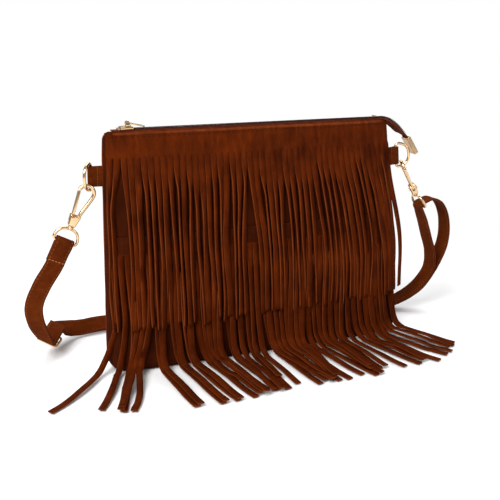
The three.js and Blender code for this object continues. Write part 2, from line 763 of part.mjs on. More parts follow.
// The middle between the two layers, from the buckle to where they part below the right ring.
const pairRoute = [
  station(-164, 79, 14.5, 0.5, -0.4, -0.76),
  station(-150, 86.5, 10, 0.12, -0.25, -0.96),
  station(-124, 93.5, 8.6, 0.1, -0.7, -0.7),
  station(-95, 94, 6, 0.1, -0.96, -0.25),
  station(-50, 87, 3.4, 0.15, -0.99, 0),
  station(40, 70, 3.1, 0.17, -0.985, 0),
  station(140, 51, 3.3, 0.17, -0.985, 0),
  station(176, 43, 8, 0.17, -0.985, 0),
  station(200, 33, 24, 0.17, -0.985, 0),
  station(210, 23, 46, 0.17, -0.985, 0),
];

const innerRoute = [
  station(204, 14, 68, 0.17, -0.985, 0),
  station(194, 8, 88, 0.14, -0.99, 0),
  station(184, 2, 107, 0.08, -1, 0),
];

const outerRoute = [
  station(189, -1, 129.5, 0, -1, 0),
  station(200, 1, 125, 0.05, -1, 0),
  station(209.5, 4, 112, 0.1, -1, 0),
  station(215, 7.5, 94, 0.14, -0.99, 0),
  station(216, 11.5, 76, 0.17, -0.985, 0),
];

function shifted(stations, amount) {
  const path = new THREE.CatmullRomCurve3(stations.map((s) => s.at), false, "centripetal");
  return stations.map((s, i) => {
    const along = path.getTangent(i / (stations.length - 1));
    const wide = s.wide.clone().addScaledVector(along, -s.wide.dot(along)).normalize();
    return { at: s.at.clone().addScaledVector(wide.clone().cross(along), amount), wide: s.wide };
  });
}

// Stations given in the buckle's own frame, as [along, up].
function atBuckle(pairs) {
  return pairs.map(([along, up]) => ({
    at: buckleCentre.clone().addScaledVector(buckleAlong, along).addScaledVector(buckleUp, up),
    wide: buckleWide,
  }));
}

function strap(left, right) {
  const layer = (strapThickness + clearance) / 2;
  const round = ringWire / 2 + clearance + strapThickness / 2;
  const leftWide = left.down.clone().cross(vec(0, 1, 0)).normalize();
  const onLeft = (down, back) => ({
    at: left.bar.clone().addScaledVector(left.down, down).addScaledVector(vec(0, 1, 0), back),
    wide: leftWide,
  });
  const sewnEnd = [
    onLeft(19, layer),
    onLeft(9, layer + 0.3),
    onLeft(2.6, round),
    onLeft(-round * 0.75, round * 0.75),
    onLeft(-round - 0.2, 0),
    onLeft(-round * 0.75, -round * 0.75),
    onLeft(2.6, -round),
    onLeft(9, -layer - 0.3),
  ];
  const rightWide = vec(0, -1, 0);
  const onRight = (x, z) => ({ at: right.bar.clone().add(vec(x, 0, z)), wide: rightWide });
  const turn = [
    onRight(-0.6, -5),
    onRight(-round - 0.1, -0.6),
    onRight(-1.6, 2.4),
    onRight(2.2, 4),
  ];
  const threaded = atBuckle([
    [-20, 7], [-15, 4.2], [-10.5, 2.7], [-7.6, 1.9], [-4.4, -2], [0, -4.9], [4.4, -2], [7.6, 1.9], [10.5, 2.6],
    [18, 2.6],
  ]);
  const sewnToBar = atBuckle([
    [18, 4.95], [10.5, 5], [7.4, 4.4], [4.2, 2], [1.9, -1.9], [-0.6, -2.5], [-2.5, 0], [-1, 2.7],
    [5, 6], [10, 7.5], [19, 7.4],
  ]);
  const stations = [
    ...sewnEnd,
    ...singleRoute,
    ...threaded,
    ...shifted(pairRoute, -layer),
    ...outerRoute.toReversed(),
    ...turn.toReversed(),
    ...innerRoute.toReversed(),
    ...shifted(pairRoute, layer).reverse(),
    ...sewnToBar,
  ];
  return ribbon(stations, strapWidth, strapThickness, radians(14), 16);
}

function buckle() {
  const half = strapWidth / 2 + 0.6 + buckleWire / 2;
  const corner = 2;
  const frame = new THREE.CurvePath();
  const points = [];
  for (const [sx, sy] of [[1, 1], [-1, 1], [-1, -1], [1, -1]]) {
    const first = vec(sx * half, sy * (buckleHalfLength - corner), 0);
    const second = vec(sx * (half - corner), sy * buckleHalfLength, 0);
    points.push(...(sx * sy > 0 ? [first, second] : [second, first]));
  }
  frame.closed = true;
  const path = new THREE.CatmullRomCurve3(points, true, "catmullrom", 0.1);
  const loop = new THREE.TubeGeometry(path, 40, buckleWire / 2, 8, true);
  const bar = roundBar(buckleWire / 2 - 0.1, vec(-half, 0, 0), vec(half, 0, 0), 10);
  const turn = new THREE.Matrix4().makeBasis(buckleWide, buckleAlong, buckleUp).setPosition(buckleCentre);
  return join(loop, bar).applyMatrix4(turn);
}

addMesh("front_panel", panel(-1, -baseSeam), suedeLook);
addMesh("back_panel", panel(1, baseSeam + clearance), suedeLook);
addMesh("lining", lining(), liningLook);
addMesh("upper_fringe", upperFringe(), fringeLook);
addMesh("lower_fringe", lowerFringe(), fringeLook);
buildZip();
const leftEye = buildSide("left", -1, leftSwing);
const rightEye = buildSide("right", 1, rightSwing);
const leftEnd = buildHook("left", leftEye, hookTilt, 0, 0);
const rightEnd = buildHook("right", rightEye, -rightHookTilt, rightHookTurn, 90);
addMesh("strap", strap(leftEnd, rightEnd), strapLook);
addMesh("strap_buckle", buckle(), goldLook);

export default bag;
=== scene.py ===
import bpy, bmesh, math, random
from mathutils import Matrix, Vector, noise


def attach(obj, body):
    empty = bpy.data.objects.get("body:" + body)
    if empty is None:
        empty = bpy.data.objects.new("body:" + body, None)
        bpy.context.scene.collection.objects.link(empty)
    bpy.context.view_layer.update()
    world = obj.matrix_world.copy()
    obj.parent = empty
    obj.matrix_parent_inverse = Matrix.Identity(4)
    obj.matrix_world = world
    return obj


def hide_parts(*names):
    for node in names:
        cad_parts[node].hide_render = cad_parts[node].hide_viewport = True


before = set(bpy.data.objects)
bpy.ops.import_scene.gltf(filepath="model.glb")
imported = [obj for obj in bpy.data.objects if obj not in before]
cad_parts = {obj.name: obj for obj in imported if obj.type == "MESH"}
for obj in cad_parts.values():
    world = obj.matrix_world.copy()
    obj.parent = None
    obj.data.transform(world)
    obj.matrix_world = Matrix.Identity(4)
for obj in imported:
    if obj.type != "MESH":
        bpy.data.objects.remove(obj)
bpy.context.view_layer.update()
mm = 0.001
xAxis, yAxis, zAxis = Vector((1, 0, 0)), Vector((0, 1, 0)), Vector((0, 0, 1))


def smooth(x, low=0.0, high=1.0):
    t = min(1.0, max(0.0, (x - low) / (high - low)))
    return t * t * (3 - 2 * t)


def mix(a, b, t):
    return a + (b - a) * t


def between(x, pairs):
    # a value read off (x, value) pairs, straight between them
    if x <= pairs[0][0]:
        return pairs[0][1]
    for (x0, v0), (x1, v1) in zip(pairs, pairs[1:]):
        if x <= x1:
            return mix(v0, v1, (x - x0) / (x1 - x0))
    return pairs[-1][1]


def pick(rows, share):
    # the row that stands so far along, from 0 for the first to 1 for the last
    return rows[int(share * (len(rows) - 1) + 0.5)]


def ripple(x, y, z):
    return noise.noise(Vector((x, y, z)))


def addObject(name, data):
    obj = bpy.data.objects.new(name, data)
    bpy.context.scene.collection.objects.link(obj)
    return obj


camera = {
    "lens": 57.6, "sensor": 36, "near": 10 * mm, "pitch": 15.56, "yaw": -22.2, "distance": 735.3 * mm,
    "target": Vector((-3.3, 0, 95.7)) * mm,
}


def makeCamera(s):
    pitch, yaw = math.radians(s["pitch"]), math.radians(s["yaw"])
    back = Vector((math.sin(yaw) * math.cos(pitch), -math.cos(yaw) * math.cos(pitch), math.sin(pitch)))
    right = Vector((math.cos(yaw), math.sin(yaw), 0))
    data = bpy.data.cameras.new("camera")
    data.lens = s["lens"]
    data.sensor_width = s["sensor"]
    data.clip_start = s["near"]
    obj = addObject("camera", data)
    turn = Matrix((right, back.cross(right), back)).transposed().to_4x4()
    obj.matrix_world = Matrix.Translation(s["target"] + back * s["distance"]) @ turn
    bpy.context.scene.camera = obj


makeCamera(camera)


class Sock:
    # wraps a node's socket so that shader maths reads as Python
    def __init__(self, graph, socket):
        self.graph = graph
        self.socket = socket

    def math(self, operation, other):
        return self.graph.add("ShaderNodeMath", {"operation": operation}, {0: self, 1: other})

    def __add__(self, other):
        return self.math("ADD", other)

    def __mul__(self, other):
        return self.math("MULTIPLY", other)

    __radd__ = __add__
    __rmul__ = __mul__


class Graph:
    # one material and its nodes
    def __init__(self, name):
        self.material = bpy.data.materials.new(name)
        self.material.use_nodes = True
        self.tree = self.material.node_tree
        self.shader = self.tree.nodes["Principled BSDF"]
        self.coordinates = self.tree.nodes.new("ShaderNodeTexCoord")

    def link(self, value, socket):
        if isinstance(value, Sock):
            self.tree.links.new(value.socket, socket)
        else:
            socket.default_value = value

    def add(self, kind, settings, inputs, output=0):
        node = self.tree.nodes.new(kind)
        for name, value in settings.items():
            setattr(node, name, value)
        for name, value in inputs.items():
            self.link(value, node.inputs[name])
        return Sock(self, node.outputs[output])

    def place(self, kind="Object"):
        return Sock(self, self.coordinates.outputs[kind])

    def stretched(self, scale):
        return self.add("ShaderNodeMapping", {}, {"Vector": self.place(), "Scale": scale})

    def noise(self, scale, where=None, detail=3.0, roughness=0.55):
        values = {"Vector": where or self.place(), "Scale": scale, "Detail": detail, "Roughness": roughness}
        return self.add("ShaderNodeTexNoise", {}, values)

    def wave(self, direction, where, scale, distortion):
        values = {"Vector": where, "Scale": scale, "Distortion": distortion}
        return self.add("ShaderNodeTexWave", {"bands_direction": direction}, values, output=1)

    def blend(self, factor, first, second):
        return self.add("ShaderNodeMix", {"data_type": "RGBA"}, {0: factor, 6: first, 7: second}, output=2)

    def spread(self, value, low, high, toLow=0.0, toHigh=1.0):
        values = {"Value": value, "From Min": low, "From Max": high, "To Min": toLow, "To Max": toHigh}
        return self.add("ShaderNodeMapRange", {"clamp": True}, values)

    def bump(self, height, strength, distance):
        return self.add("ShaderNodeBump", {}, {"Height": height, "Strength": strength, "Distance": distance})

    def set(self, **values):
        names = {
            "colour": "Base Color", "roughness": "Roughness", "metallic": "Metallic", "normal": "Normal",
            "sheen": "Sheen Weight", "sheenRoughness": "Sheen Roughness", "sheenTint": "Sheen Tint",
            "specular": "Specular IOR Level",
        }
        for name, value in values.items():
            self.link(value, self.shader.inputs[names[name]])
        return self.material


def srgb(red, green, blue):
    def linear(value):
        value /= 255
        return value / 12.92 if value <= 0.04045 else ((value + 0.055) / 1.055) ** 2.4
    return (linear(red), linear(green), linear(blue), 1)


suedeLook = {
    "base": srgb(86, 30, 2), "deep": srgb(50, 13, 1), "raised": srgb(116, 50, 10),
    # scales of the patterns, from coarse to fine, and how they are stretched downwards
    "patch": 26, "nap": 230, "fibre": 1900, "fine": 3230, "streak": (1, 1, 0.18),
    # pattern values from which the nap turns from dark to plain, and from plain to light
    "shade": (0.38, 0.72), "light": (0.52, 0.72),
    "roughness": (0.82, 0.98), "specular": 0.04, "bump": 0.5, "depth": 0.4 * mm,
    "sheen": 0.03, "sheenRoughness": 0.4, "sheenTint": srgb(150, 70, 15),
}


def suedeMaterial(name, **changes):
    s = {**suedeLook, **changes}
    g = Graph(name)
    broad = g.noise(s["patch"], detail=2)
    brushed = g.noise(s["nap"], g.stretched(s["streak"]), detail=4, roughness=0.6)
    fibre = g.noise(s["fibre"], g.stretched(s["streak"]), detail=2)
    fine = g.noise(s["fine"], detail=1)
    shade = g.spread(broad * 0.55 + brushed * 0.3 + fibre * 0.25, *s["shade"])
    light = g.spread(brushed * 0.5 + fine * 0.5, *s["light"])
    colour = g.blend(light * 0.35, g.blend(shade, s["deep"], s["base"]), s["raised"])
    height = fibre * 0.5 + fine * 0.3 + brushed * 0.6
    return g.set(
        colour=colour, roughness=g.spread(fibre, 0.3, 0.7, *s["roughness"]), specular=s["specular"],
        normal=g.bump(height, s["bump"], s["depth"]), sheen=s["sheen"], sheenRoughness=s["sheenRoughness"],
        sheenTint=s["sheenTint"])


def cutEdgeMaterial(name, dark, light):
    g = Graph(name)
    fibre = g.noise(2600, detail=3, roughness=0.7)
    broad = g.noise(60)
    colour = g.blend(g.spread(fibre * 0.6 + broad * 0.4, 0.35, 0.7), dark, light)
    return g.set(colour=colour, roughness=0.95, specular=0.04, normal=g.bump(fibre, 0.6, 0.3 * mm))


def threadMaterial(name, dark, light):
    g = Graph(name)
    twist = g.wave("DIAGONAL", g.place(), 700, 1.0)
    colour = g.blend(twist, dark, light)
    return g.set(colour=colour, roughness=0.8, specular=0.06, normal=g.bump(twist, 0.5, 0.2 * mm))


def metalMaterial(name, colour, roughness, brushed=0.0):
    g = Graph(name)
    wear = g.noise(320, detail=5, roughness=0.7)
    hair = g.noise(900, g.stretched((1, 1, 0.05)), detail=3)
    worn = (*(0.9 * c for c in colour[:3]), 1)
    tint = g.blend(g.spread(wear, 0.35, 0.75), colour, worn)
    rough = g.spread(wear * 0.7 + hair * 0.3, 0.35, 0.7, roughness, roughness + 0.1)
    bump = g.bump(wear + hair * brushed, 0.06 + 0.2 * brushed, 0.2 * mm)
    return g.set(colour=tint, metallic=1.0, roughness=rough, normal=bump)


def wovenMaterial(name, dark, light, warpScale, weftScale):
    g = Graph(name)
    warp = g.wave("X", g.place("UV"), warpScale, 0.4)
    weft = g.wave("Y", g.place("UV"), weftScale, 0.4)
    weave = warp.math("MAXIMUM", weft)
    dirt = g.noise(90)
    colour = g.blend(g.spread(weave * 0.6 + dirt * 0.5, 0.3, 0.95), dark, light)
    return g.set(colour=colour, roughness=0.85, specular=0.06, normal=g.bump(weave, 0.5, 0.2 * mm))


def coilMaterial(name, dark, light):
    g = Graph(name)
    tone = g.noise(500, detail=2)
    return g.set(
        colour=g.blend(tone, dark, light), roughness=g.spread(tone, 0.3, 0.7, 0.5, 0.65), specular=0.15,
        normal=g.bump(tone, 0.1, 0.1 * mm))


finishes = {
    "suede": suedeMaterial("suede"),
    # the same suede made darker as painted shade, for what lies under the fringe
    "paintedShade": suedeMaterial(
        "painted_shade_suede", base=srgb(62, 20, 3), deep=srgb(38, 10, 1), raised=srgb(86, 34, 8)),
    "fringe": suedeMaterial("fringe_suede", patch=40),
    "strap": suedeMaterial("strap_suede", base=srgb(96, 39, 6), deep=srgb(64, 22, 3), streak=(1, 1, 1)),
    "cutEdge": cutEdgeMaterial("cut_edge", srgb(74, 26, 6), srgb(122, 58, 24)),
    "strapEdge": cutEdgeMaterial("strap_edge", srgb(60, 24, 10), srgb(104, 48, 22)),
    "rim": suedeMaterial("rim_suede", base=srgb(108, 46, 16), deep=srgb(74, 28, 8), raised=srgb(144, 78, 42)),
    "thread": threadMaterial("dark_thread", srgb(36, 12, 3), srgb(74, 30, 10)),
    "strapThread": threadMaterial("strap_thread", srgb(116, 60, 26), srgb(150, 86, 42)),
    "paleThread": threadMaterial("pale_thread", srgb(160, 96, 52), srgb(208, 146, 96)),
    "gold": metalMaterial("pale_gold", srgb(226, 190, 146), 0.14),
    "satin": metalMaterial("satin_gold", srgb(192, 162, 128), 0.36, 0.6),
    "steel": metalMaterial("spring_steel", srgb(170, 170, 172), 0.3),
    "tape": wovenMaterial("zip_tape", srgb(48, 18, 12), srgb(98, 46, 28), 220, 40),
    "coil": coilMaterial("zip_coil", srgb(26, 10, 8), srgb(56, 24, 16)),
    "lining": wovenMaterial("lining_cotton", srgb(120, 92, 62), srgb(176, 146, 108), 160, 160),
}


def finishPiece(bm, name, body, materials, angle=35):
    mesh = bpy.data.meshes.new(name)
    bm.to_mesh(mesh)
    bm.free()
    for material in materials:
        mesh.materials.append(finishes[material])
    mesh.shade_smooth()
    mesh.set_sharp_from_angle(angle=math.radians(angle))
    piece = addObject(name, mesh)
    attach(piece, body)
    return piece


def addGrid(bm, columns, rows, place):
    # a grid whose points go where place(across, along) says, both from 0 to 1
    bm.loops.layers.uv.verify()
    made = bmesh.ops.create_grid(bm, x_segments=columns, y_segments=rows, size=0.5, calc_uvs=True)
    for vert in made["verts"]:
        vert.co = place(vert.co.x + 0.5, vert.co.y + 0.5)


def thicken(piece, thickness, offset=-1.0, rim=0, even=True):
    wall = piece.modifiers.new("wall", "SOLIDIFY")
    wall.thickness = thickness
    wall.offset = offset
    wall.use_even_offset = even
    wall.material_offset_rim = rim


def soften(piece, width, angle=40):
    edge = piece.modifiers.new("edge", "BEVEL")
    edge.width = width
    edge.segments = 2
    edge.limit_method = "ANGLE"
    edge.angle_limit = math.radians(angle)


def addWire(bm, points, radius, matrix=None, closed=False, sides=3, steps=6, radii=None):
    # a round wire through points
    curve = bpy.data.curves.new("wire", "CURVE")
    curve.dimensions = "3D"
    curve.bevel_depth = radius
    curve.bevel_resolution = sides
    curve.resolution_u = steps
    curve.use_fill_caps = not closed
    spline = curve.splines.new("BEZIER")
    spline.bezier_points.add(len(points) - 1)
    spline.use_cyclic_u = closed
    for i, (knot, point) in enumerate(zip(spline.bezier_points, points)):
        knot.co = point
        knot.handle_left_type = knot.handle_right_type = "AUTO"
        knot.radius = radii[i] if radii else 1.0
    holder = addObject("wire", curve)
    mesh = bpy.data.meshes.new_from_object(holder.evaluated_get(bpy.context.evaluated_depsgraph_get()))
    bpy.data.objects.remove(holder)
    bpy.data.curves.remove(curve)
    if matrix is not None:
        mesh.transform(matrix)
    mesh.materials.clear()
    bm.from_mesh(mesh)
    bpy.data.meshes.remove(mesh)


def bevelEdges(bm, edges, width, segments=2):
    return bmesh.ops.bevel(
        bm, geom=list(edges), offset=width, segments=segments, profile=0.5, affect="EDGES", material=-1)


# blocks and rods take all their sizes in mm
def addBlock(bm, low, high, bevel=0.0, segments=2):
    low, high = Vector(low) * mm, Vector(high) * mm
    place = Matrix.Translation((low + high) / 2) @ Matrix.Diagonal((*(high - low), 1))
    verts = bmesh.ops.create_cube(bm, size=1.0, matrix=place)["verts"]
    if bevel:
        cut = bevelEdges(bm, {edge for vert in verts for edge in vert.link_edges}, bevel * mm, segments)
        verts = list(set(cut["verts"]) | {v for v in verts if v.is_valid})
    return verts


def addRod(bm, start, end, radius, segments=20, bevel=0.0, matrix=None):
    start, end = Vector(start) * mm, Vector(end) * mm
    along = end - start
    place = Matrix.Translation((start + end) / 2) @ along.to_track_quat("Z", "Y").to_matrix().to_4x4()
    if matrix is not None:
        place = matrix @ place
    made = bmesh.ops.create_cone(
        bm, cap_ends=True, segments=segments, radius1=radius * mm, radius2=radius * mm,
        depth=along.length, matrix=place)
    if bevel:
        # only the rims of the two ends are as sharp as this
        rims = {edge for vert in made["verts"] for edge in vert.link_edges if edge.calc_face_angle(0) > 1.2}
        bevelEdges(bm, rims, bevel * mm)


def solid(add, *sizes):
    bm = bmesh.new()
    add(bm, *sizes)
    return bm


def axesAt(origin, x, y, z):
    matrix = Matrix((x, y, z)).transposed().to_4x4()
    matrix.translation = origin
    return matrix


def ballMesh():
    bm = bmesh.new()
    bmesh.ops.create_uvsphere(bm, u_segments=6, v_segments=4, radius=1.0)
    mesh = bpy.data.meshes.new("ball")
    bm.to_mesh(mesh)
    bm.free()
    return mesh


ball = ballMesh()


def addStitch(bm, at, along, out, length=2.2 * mm, thick=0.5 * mm):
    # one stitch, a small long ball half sunk in the leather
    along = along.normalized()
    side = out.cross(along).normalized()
    turn = axesAt(at, along, side, along.cross(side))
    stitch = ball.copy()
    stitch.transform(turn @ Matrix.Diagonal((length / 2, thick / 2, thick * 0.4, 1)))
    bm.from_mesh(stitch)
    bpy.data.meshes.remove(stitch)


pouch = {
    "height": 209 * mm, "topWidth": 270 * mm, "baseWidth": 294 * mm, "lean": 7 * mm,
    "topDepth": 6 * mm, "baseDepth": 20 * mm, "bulge": 4 * mm, "flank": 8,
    "baseEdge": 9 * mm, "baseCorner": 14 * mm, "topCorner": 6 * mm, "wall": 1.6 * mm,
    "dent": 0.9 * mm, "crease": 0.25 * mm,
}


def halfWidth(z):
    return mix(pouch["baseWidth"], pouch["topWidth"], z / pouch["height"]) / 2


def middleX(z):
    return pouch["lean"] * (1 - z / pouch["height"])


def halfDepth(z):
    up = z / pouch["height"]
    return mix(pouch["baseDepth"], pouch["topDepth"], up) + pouch["bulge"] * math.sin(math.pi * up)


def flank(across):
    return math.sqrt(max(0.0, 1 - abs(across) ** pouch["flank"]))


def baseHeight(across, inset=0.0):
    reach = abs(across) * (pouch["baseWidth"] / 2 - inset) - (pouch["baseWidth"] / 2 - pouch["baseCorner"])
    if reach <= 0:
        return inset
    return pouch["baseCorner"] - math.sqrt(max(0.0, (pouch["baseCorner"] - inset) ** 2 - reach ** 2))


def rimHeight(across, inset=0.0):
    reach = abs(across) * (pouch["topWidth"] / 2 - inset) - (pouch["topWidth"] / 2 - pouch["topCorner"])
    if reach <= 0:
        return pouch["height"]
    return pouch["height"] - pouch["topCorner"] + math.sqrt(max(0.0, pouch["topCorner"] ** 2 - reach ** 2))


def pouchPoint(across, along, side, inset=0.0, top=None):
    # along runs from 0 at the rim, down the side, round the base's edge, to 1 under the middle
    edge = pouch["baseEdge"]
    sideShare, edgeShare = 0.84, 0.1
    top = pouch["height"] if top is None else top
    if along <= sideShare:
        level = mix(top, edge, along / sideShare)
        depth = halfDepth(level) - inset
    else:
        turn = math.pi / 2 * min(1.0, (along - sideShare) / edgeShare)
        level = edge - (edge - inset) * math.sin(turn)
        depth = halfDepth(edge) - edge + (edge - inset) * math.cos(turn)
        if along > sideShare + edgeShare:
            depth *= 1 - (along - sideShare - edgeShare) / (1 - sideShare - edgeShare)
    low = baseHeight(across, inset)
    z = low + (level - inset) * (rimHeight(across, inset) - low) / (pouch["height"] - inset)
    x = middleX(level) + (halfWidth(level) - inset) * across
    return Vector((x, side * depth * flank(across), z))


def frontY(x, z, limit=0.985):
    # where the front stands, with a hair's breadth for what lies on it
    across = max(-limit, min(limit, (x - middleX(z)) / halfWidth(z)))
    return -(0.2 * mm + halfDepth(z) * flank(across))


def rimPoint(across, z):
    return middleX(z) + halfWidth(z) * across


def makePouch():
    for name, side in (("front", -1), ("back", 1)):
        bm = bmesh.new()

        def place(u, v):
            across = math.sin(math.pi / 2 * (2 * u - 1))
            point = pouchPoint(across, v, side)
            # soft dents and a slack belly, none at the seams
            calm = (1 - abs(across) ** 6) * smooth(v, 0, 0.12) * (1 - smooth(v, 0.78, 0.9))
            dent = ripple(point.x * 13, side * 3.0, point.z * 17)
            crease = ripple(point.x * 45, side * 7.0, point.z * 30)
            point.y += side * calm * (pouch["dent"] * dent + pouch["crease"] * crease)
            return point

        addGrid(bm, 64, 56, place)
        bmesh.ops.recalc_face_normals(bm, faces=bm.faces)
        middle = min(bm.faces, key=lambda f: (f.calc_center_median() - Vector((0, side * 0.02, 0.1))).length)
        if middle.normal.y * side < 0:
            bmesh.ops.reverse_faces(bm, faces=bm.faces)
        # the front panel lies in the fringe's shade, so it gets the darker suede: painted shade
        face = "paintedShade" if name == "front" else "suede"
        piece = finishPiece(bm, f"pouch_{name}", "bag", [face, "cutEdge"], 60)
        thicken(piece, pouch["wall"], rim=1)
        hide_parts(f"{name}_panel")


def makeLining():
    bm = bmesh.new()
    inset = pouch["wall"] + 0.3 * mm
    for side in (-1, 1):
        def place(u, v):
            across = math.sin(math.pi / 2 * (2 * u - 1))
            point = pouchPoint(across, v, side, inset, pouch["height"] - 5.5 * mm)
            crease = ripple(point.x * 30, side * 11.0, point.z * 22)
            point.y -= side * 0.5 * mm * max(0, crease) * smooth(v, 0, 0.2)
            return point
        addGrid(bm, 40, 30, place)
    bmesh.ops.remove_doubles(bm, verts=bm.verts, dist=0.0001)
    bmesh.ops.recalc_face_normals(bm, faces=bm.faces)
    piece = finishPiece(bm, "lining_bag", "bag", ["lining"], 60)
    thicken(piece, 0.5 * mm)
    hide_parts("lining")


# Both rows of the fringe hang on one surface, measured down from the upper row's cuts:
# the pouch's front, a bend, the floor.
hang = {"top": 190 * mm, "leaves": 17 * mm, "bend": 16 * mm, "clear": 1 * mm}
# how a strip is laid on the pile below it; reach counts its stations
laying = {
    "step": 3 * mm, "steepest": 0.95, "samples": (-1, -0.6, -0.2, 0.2, 0.6, 1), "loft": 9 * mm,
    "gap": 0.15 * mm, "reach": 3, "start": 30 * mm, "cell": 1.5 * mm,
}
pile = {}


def hangPoint(x, down, lift):
    # returns the point, the way down the surface and the way out of it
    fall = hang["top"] - hang["leaves"]
    forward, up = -yAxis, zAxis
    if down <= fall:
        z = hang["top"] - down
        return Vector((x, frontY(x, z), z)) + forward * lift, -up, forward
    start = Vector((x, frontY(x, hang["leaves"]), hang["leaves"]))
    radius = hang["bend"]
    bend = min((down - fall) / radius, math.pi / 2)
    rest = max(0.0, down - fall - radius * math.pi / 2)
    travel = forward * math.sin(bend) - up * math.cos(bend)
    out = forward * math.cos(bend) + up * math.sin(bend)
    point = start + forward * (radius * (1 - math.cos(bend)) + rest) - up * (radius * math.sin(bend))
    point.z += 0.0 if bend < math.pi / 2 else radius - hang["leaves"] + hang["clear"]
    return point + out * lift, travel, out


def pileCell(at, offset):
    # the pile's cell under a station, so far across the strip
    x = at["x"] + offset * math.cos(math.asin(at["slope"]))
    return math.floor(x / laying["cell"]), math.floor((at["down"] - offset * at["slope"]) / laying["cell"])


def layStrip(strip, thickness):
    # finds how far the strip stands off what already lies below it, then adds it to the pile
    stations = []
    step, steepest, loft = laying["step"], laying["steepest"], laying["loft"]
    x, down, s = strip["x"], strip["down"], 0.0
    while s < strip["length"] + 1e-6:
        ahead = strip["drift"](s + step) - strip["drift"](s)
        slope = max(-steepest, min(steepest, ahead / step))
        stations.append({"x": x, "down": down, "s": s, "slope": slope, "roll": strip["roll"](s)})
        x += slope * step
        down += math.sqrt(1 - slope ** 2) * step
        s += step
    half = strip["width"] / 2
    lifts = []
    for at in stations:
        need = 0.0
        for a in laying["samples"]:
            where = pileCell(at, a * half * math.cos(at["roll"]))
            need = max(need, pile.get(where, 0.0) + a * half * math.sin(at["roll"]))
        # soft strips press together, so a pile grows less the higher it is
        pressed = loft * (1 - math.exp(-need / loft))
        lifts.append(pressed + thickness / 2 + laying["gap"] + strip["stand"](at["s"]))
    reach = laying["reach"]
    wide = [max(lifts[max(0, i - reach):i + reach + 1]) for i in range(len(lifts))]
    for i, at in enumerate(stations):
        near = wide[max(0, i - reach):i + reach + 1]
        at["lift"] = mix(strip["bandOut"], sum(near) / len(near), smooth(at["s"], 0, laying["start"]))
    for at in stations[1:]:
        for a in laying["samples"]:
            where = pileCell(at, a * half * math.cos(at["roll"]))
            top = at["lift"] - a * half * math.sin(at["roll"]) + thickness / 2
            pile[where] = max(pile.get(where, 0.0), top)
    return stations


def bandPoint(across, z, out):
    level = min(z, pouch["height"])
    x = rimPoint(across, level)
    corner = (rimHeight(across) - pouch["height"]) * smooth(z, 196 * mm, 206 * mm)
    return Vector((x, frontY(x, level) - out, z + corner))


def addStrip(bm, stations, strip):
    def place(u, v):
        at = pick(stations, v)
        if at["s"] == 0:
            return bandPoint(mix(*strip["cuts"], u), hang["top"] - at["down"], strip["bandOut"])
        point, travel, out = hangPoint(at["x"], at["down"], at["lift"])
        level = math.sqrt(1 - at["slope"] ** 2)
        along = Vector((at["slope"], 0, 0)) + travel * level
        wide = Vector((level, 0, 0)) - travel * at["slope"]
        turned = wide * math.cos(at["roll"]) - out * math.sin(at["roll"])
        crown = turned.cross(along) * strip["crown"] * (1 - abs(2 * u - 1))
        ragged = 1 + 0.05 * ripple(at["s"] * 90, strip["seed"], u * 9)
        return point + turned * ((u - 0.5) * strip["width"] * ragged) + crown

    addGrid(bm, 2, len(stations) - 1, place)


upperRow = {
    "count": 48, "cover": 0.985, "cutTop": 190 * mm, "length": 150 * mm,
    "width": 5.5 * mm, "thickness": 1.15 * mm, "roll": 30, "rollSpread": 22, "sway": 2.1 * mm, "seed": 11,
    "bandOut": 1.5 * mm, "stand": 1.1 * mm, "standFrom": (5 * mm, 60 * mm), "opening": 26 * mm,
    # how far the last strips at the right swing outwards, from which x and over what length
    "fan": 22 * mm, "fanAcross": (-30 * mm, 150 * mm), "fanDown": (-20 * mm, 125 * mm),
    # the band's height and how far it goes back from bandOut, in mm, folded over the rim at the end
    "band": ((190, 0), (199, 0), (206.5, 0), (208.6, 0.2), (209.7, 1.2), (210, 2.6), (209.6, 3.9)),
    # x, how far the strips part, how far that reaches, heights where it begins and is widest
    "partings": (
        (-125, 6.5, 6, 188, 140), (-108, 1.8, 8, 182, 150), (-84, 2.2, 7, 170, 90), (-62, 2.6, 8, 170, 75),
        (-48, 2.2, 7, 140, 70), (-30, 2.6, 8, 190, 110), (-11, 8.0, 15, 175, 90), (24, 2.2, 8, 170, 110),
        (52, 2.4, 8, 160, 80), (76, 2.2, 8, 160, 70), (104, 3.4, 10, 140, 50), (128, 2.2, 7, 180, 60),
    ),
}

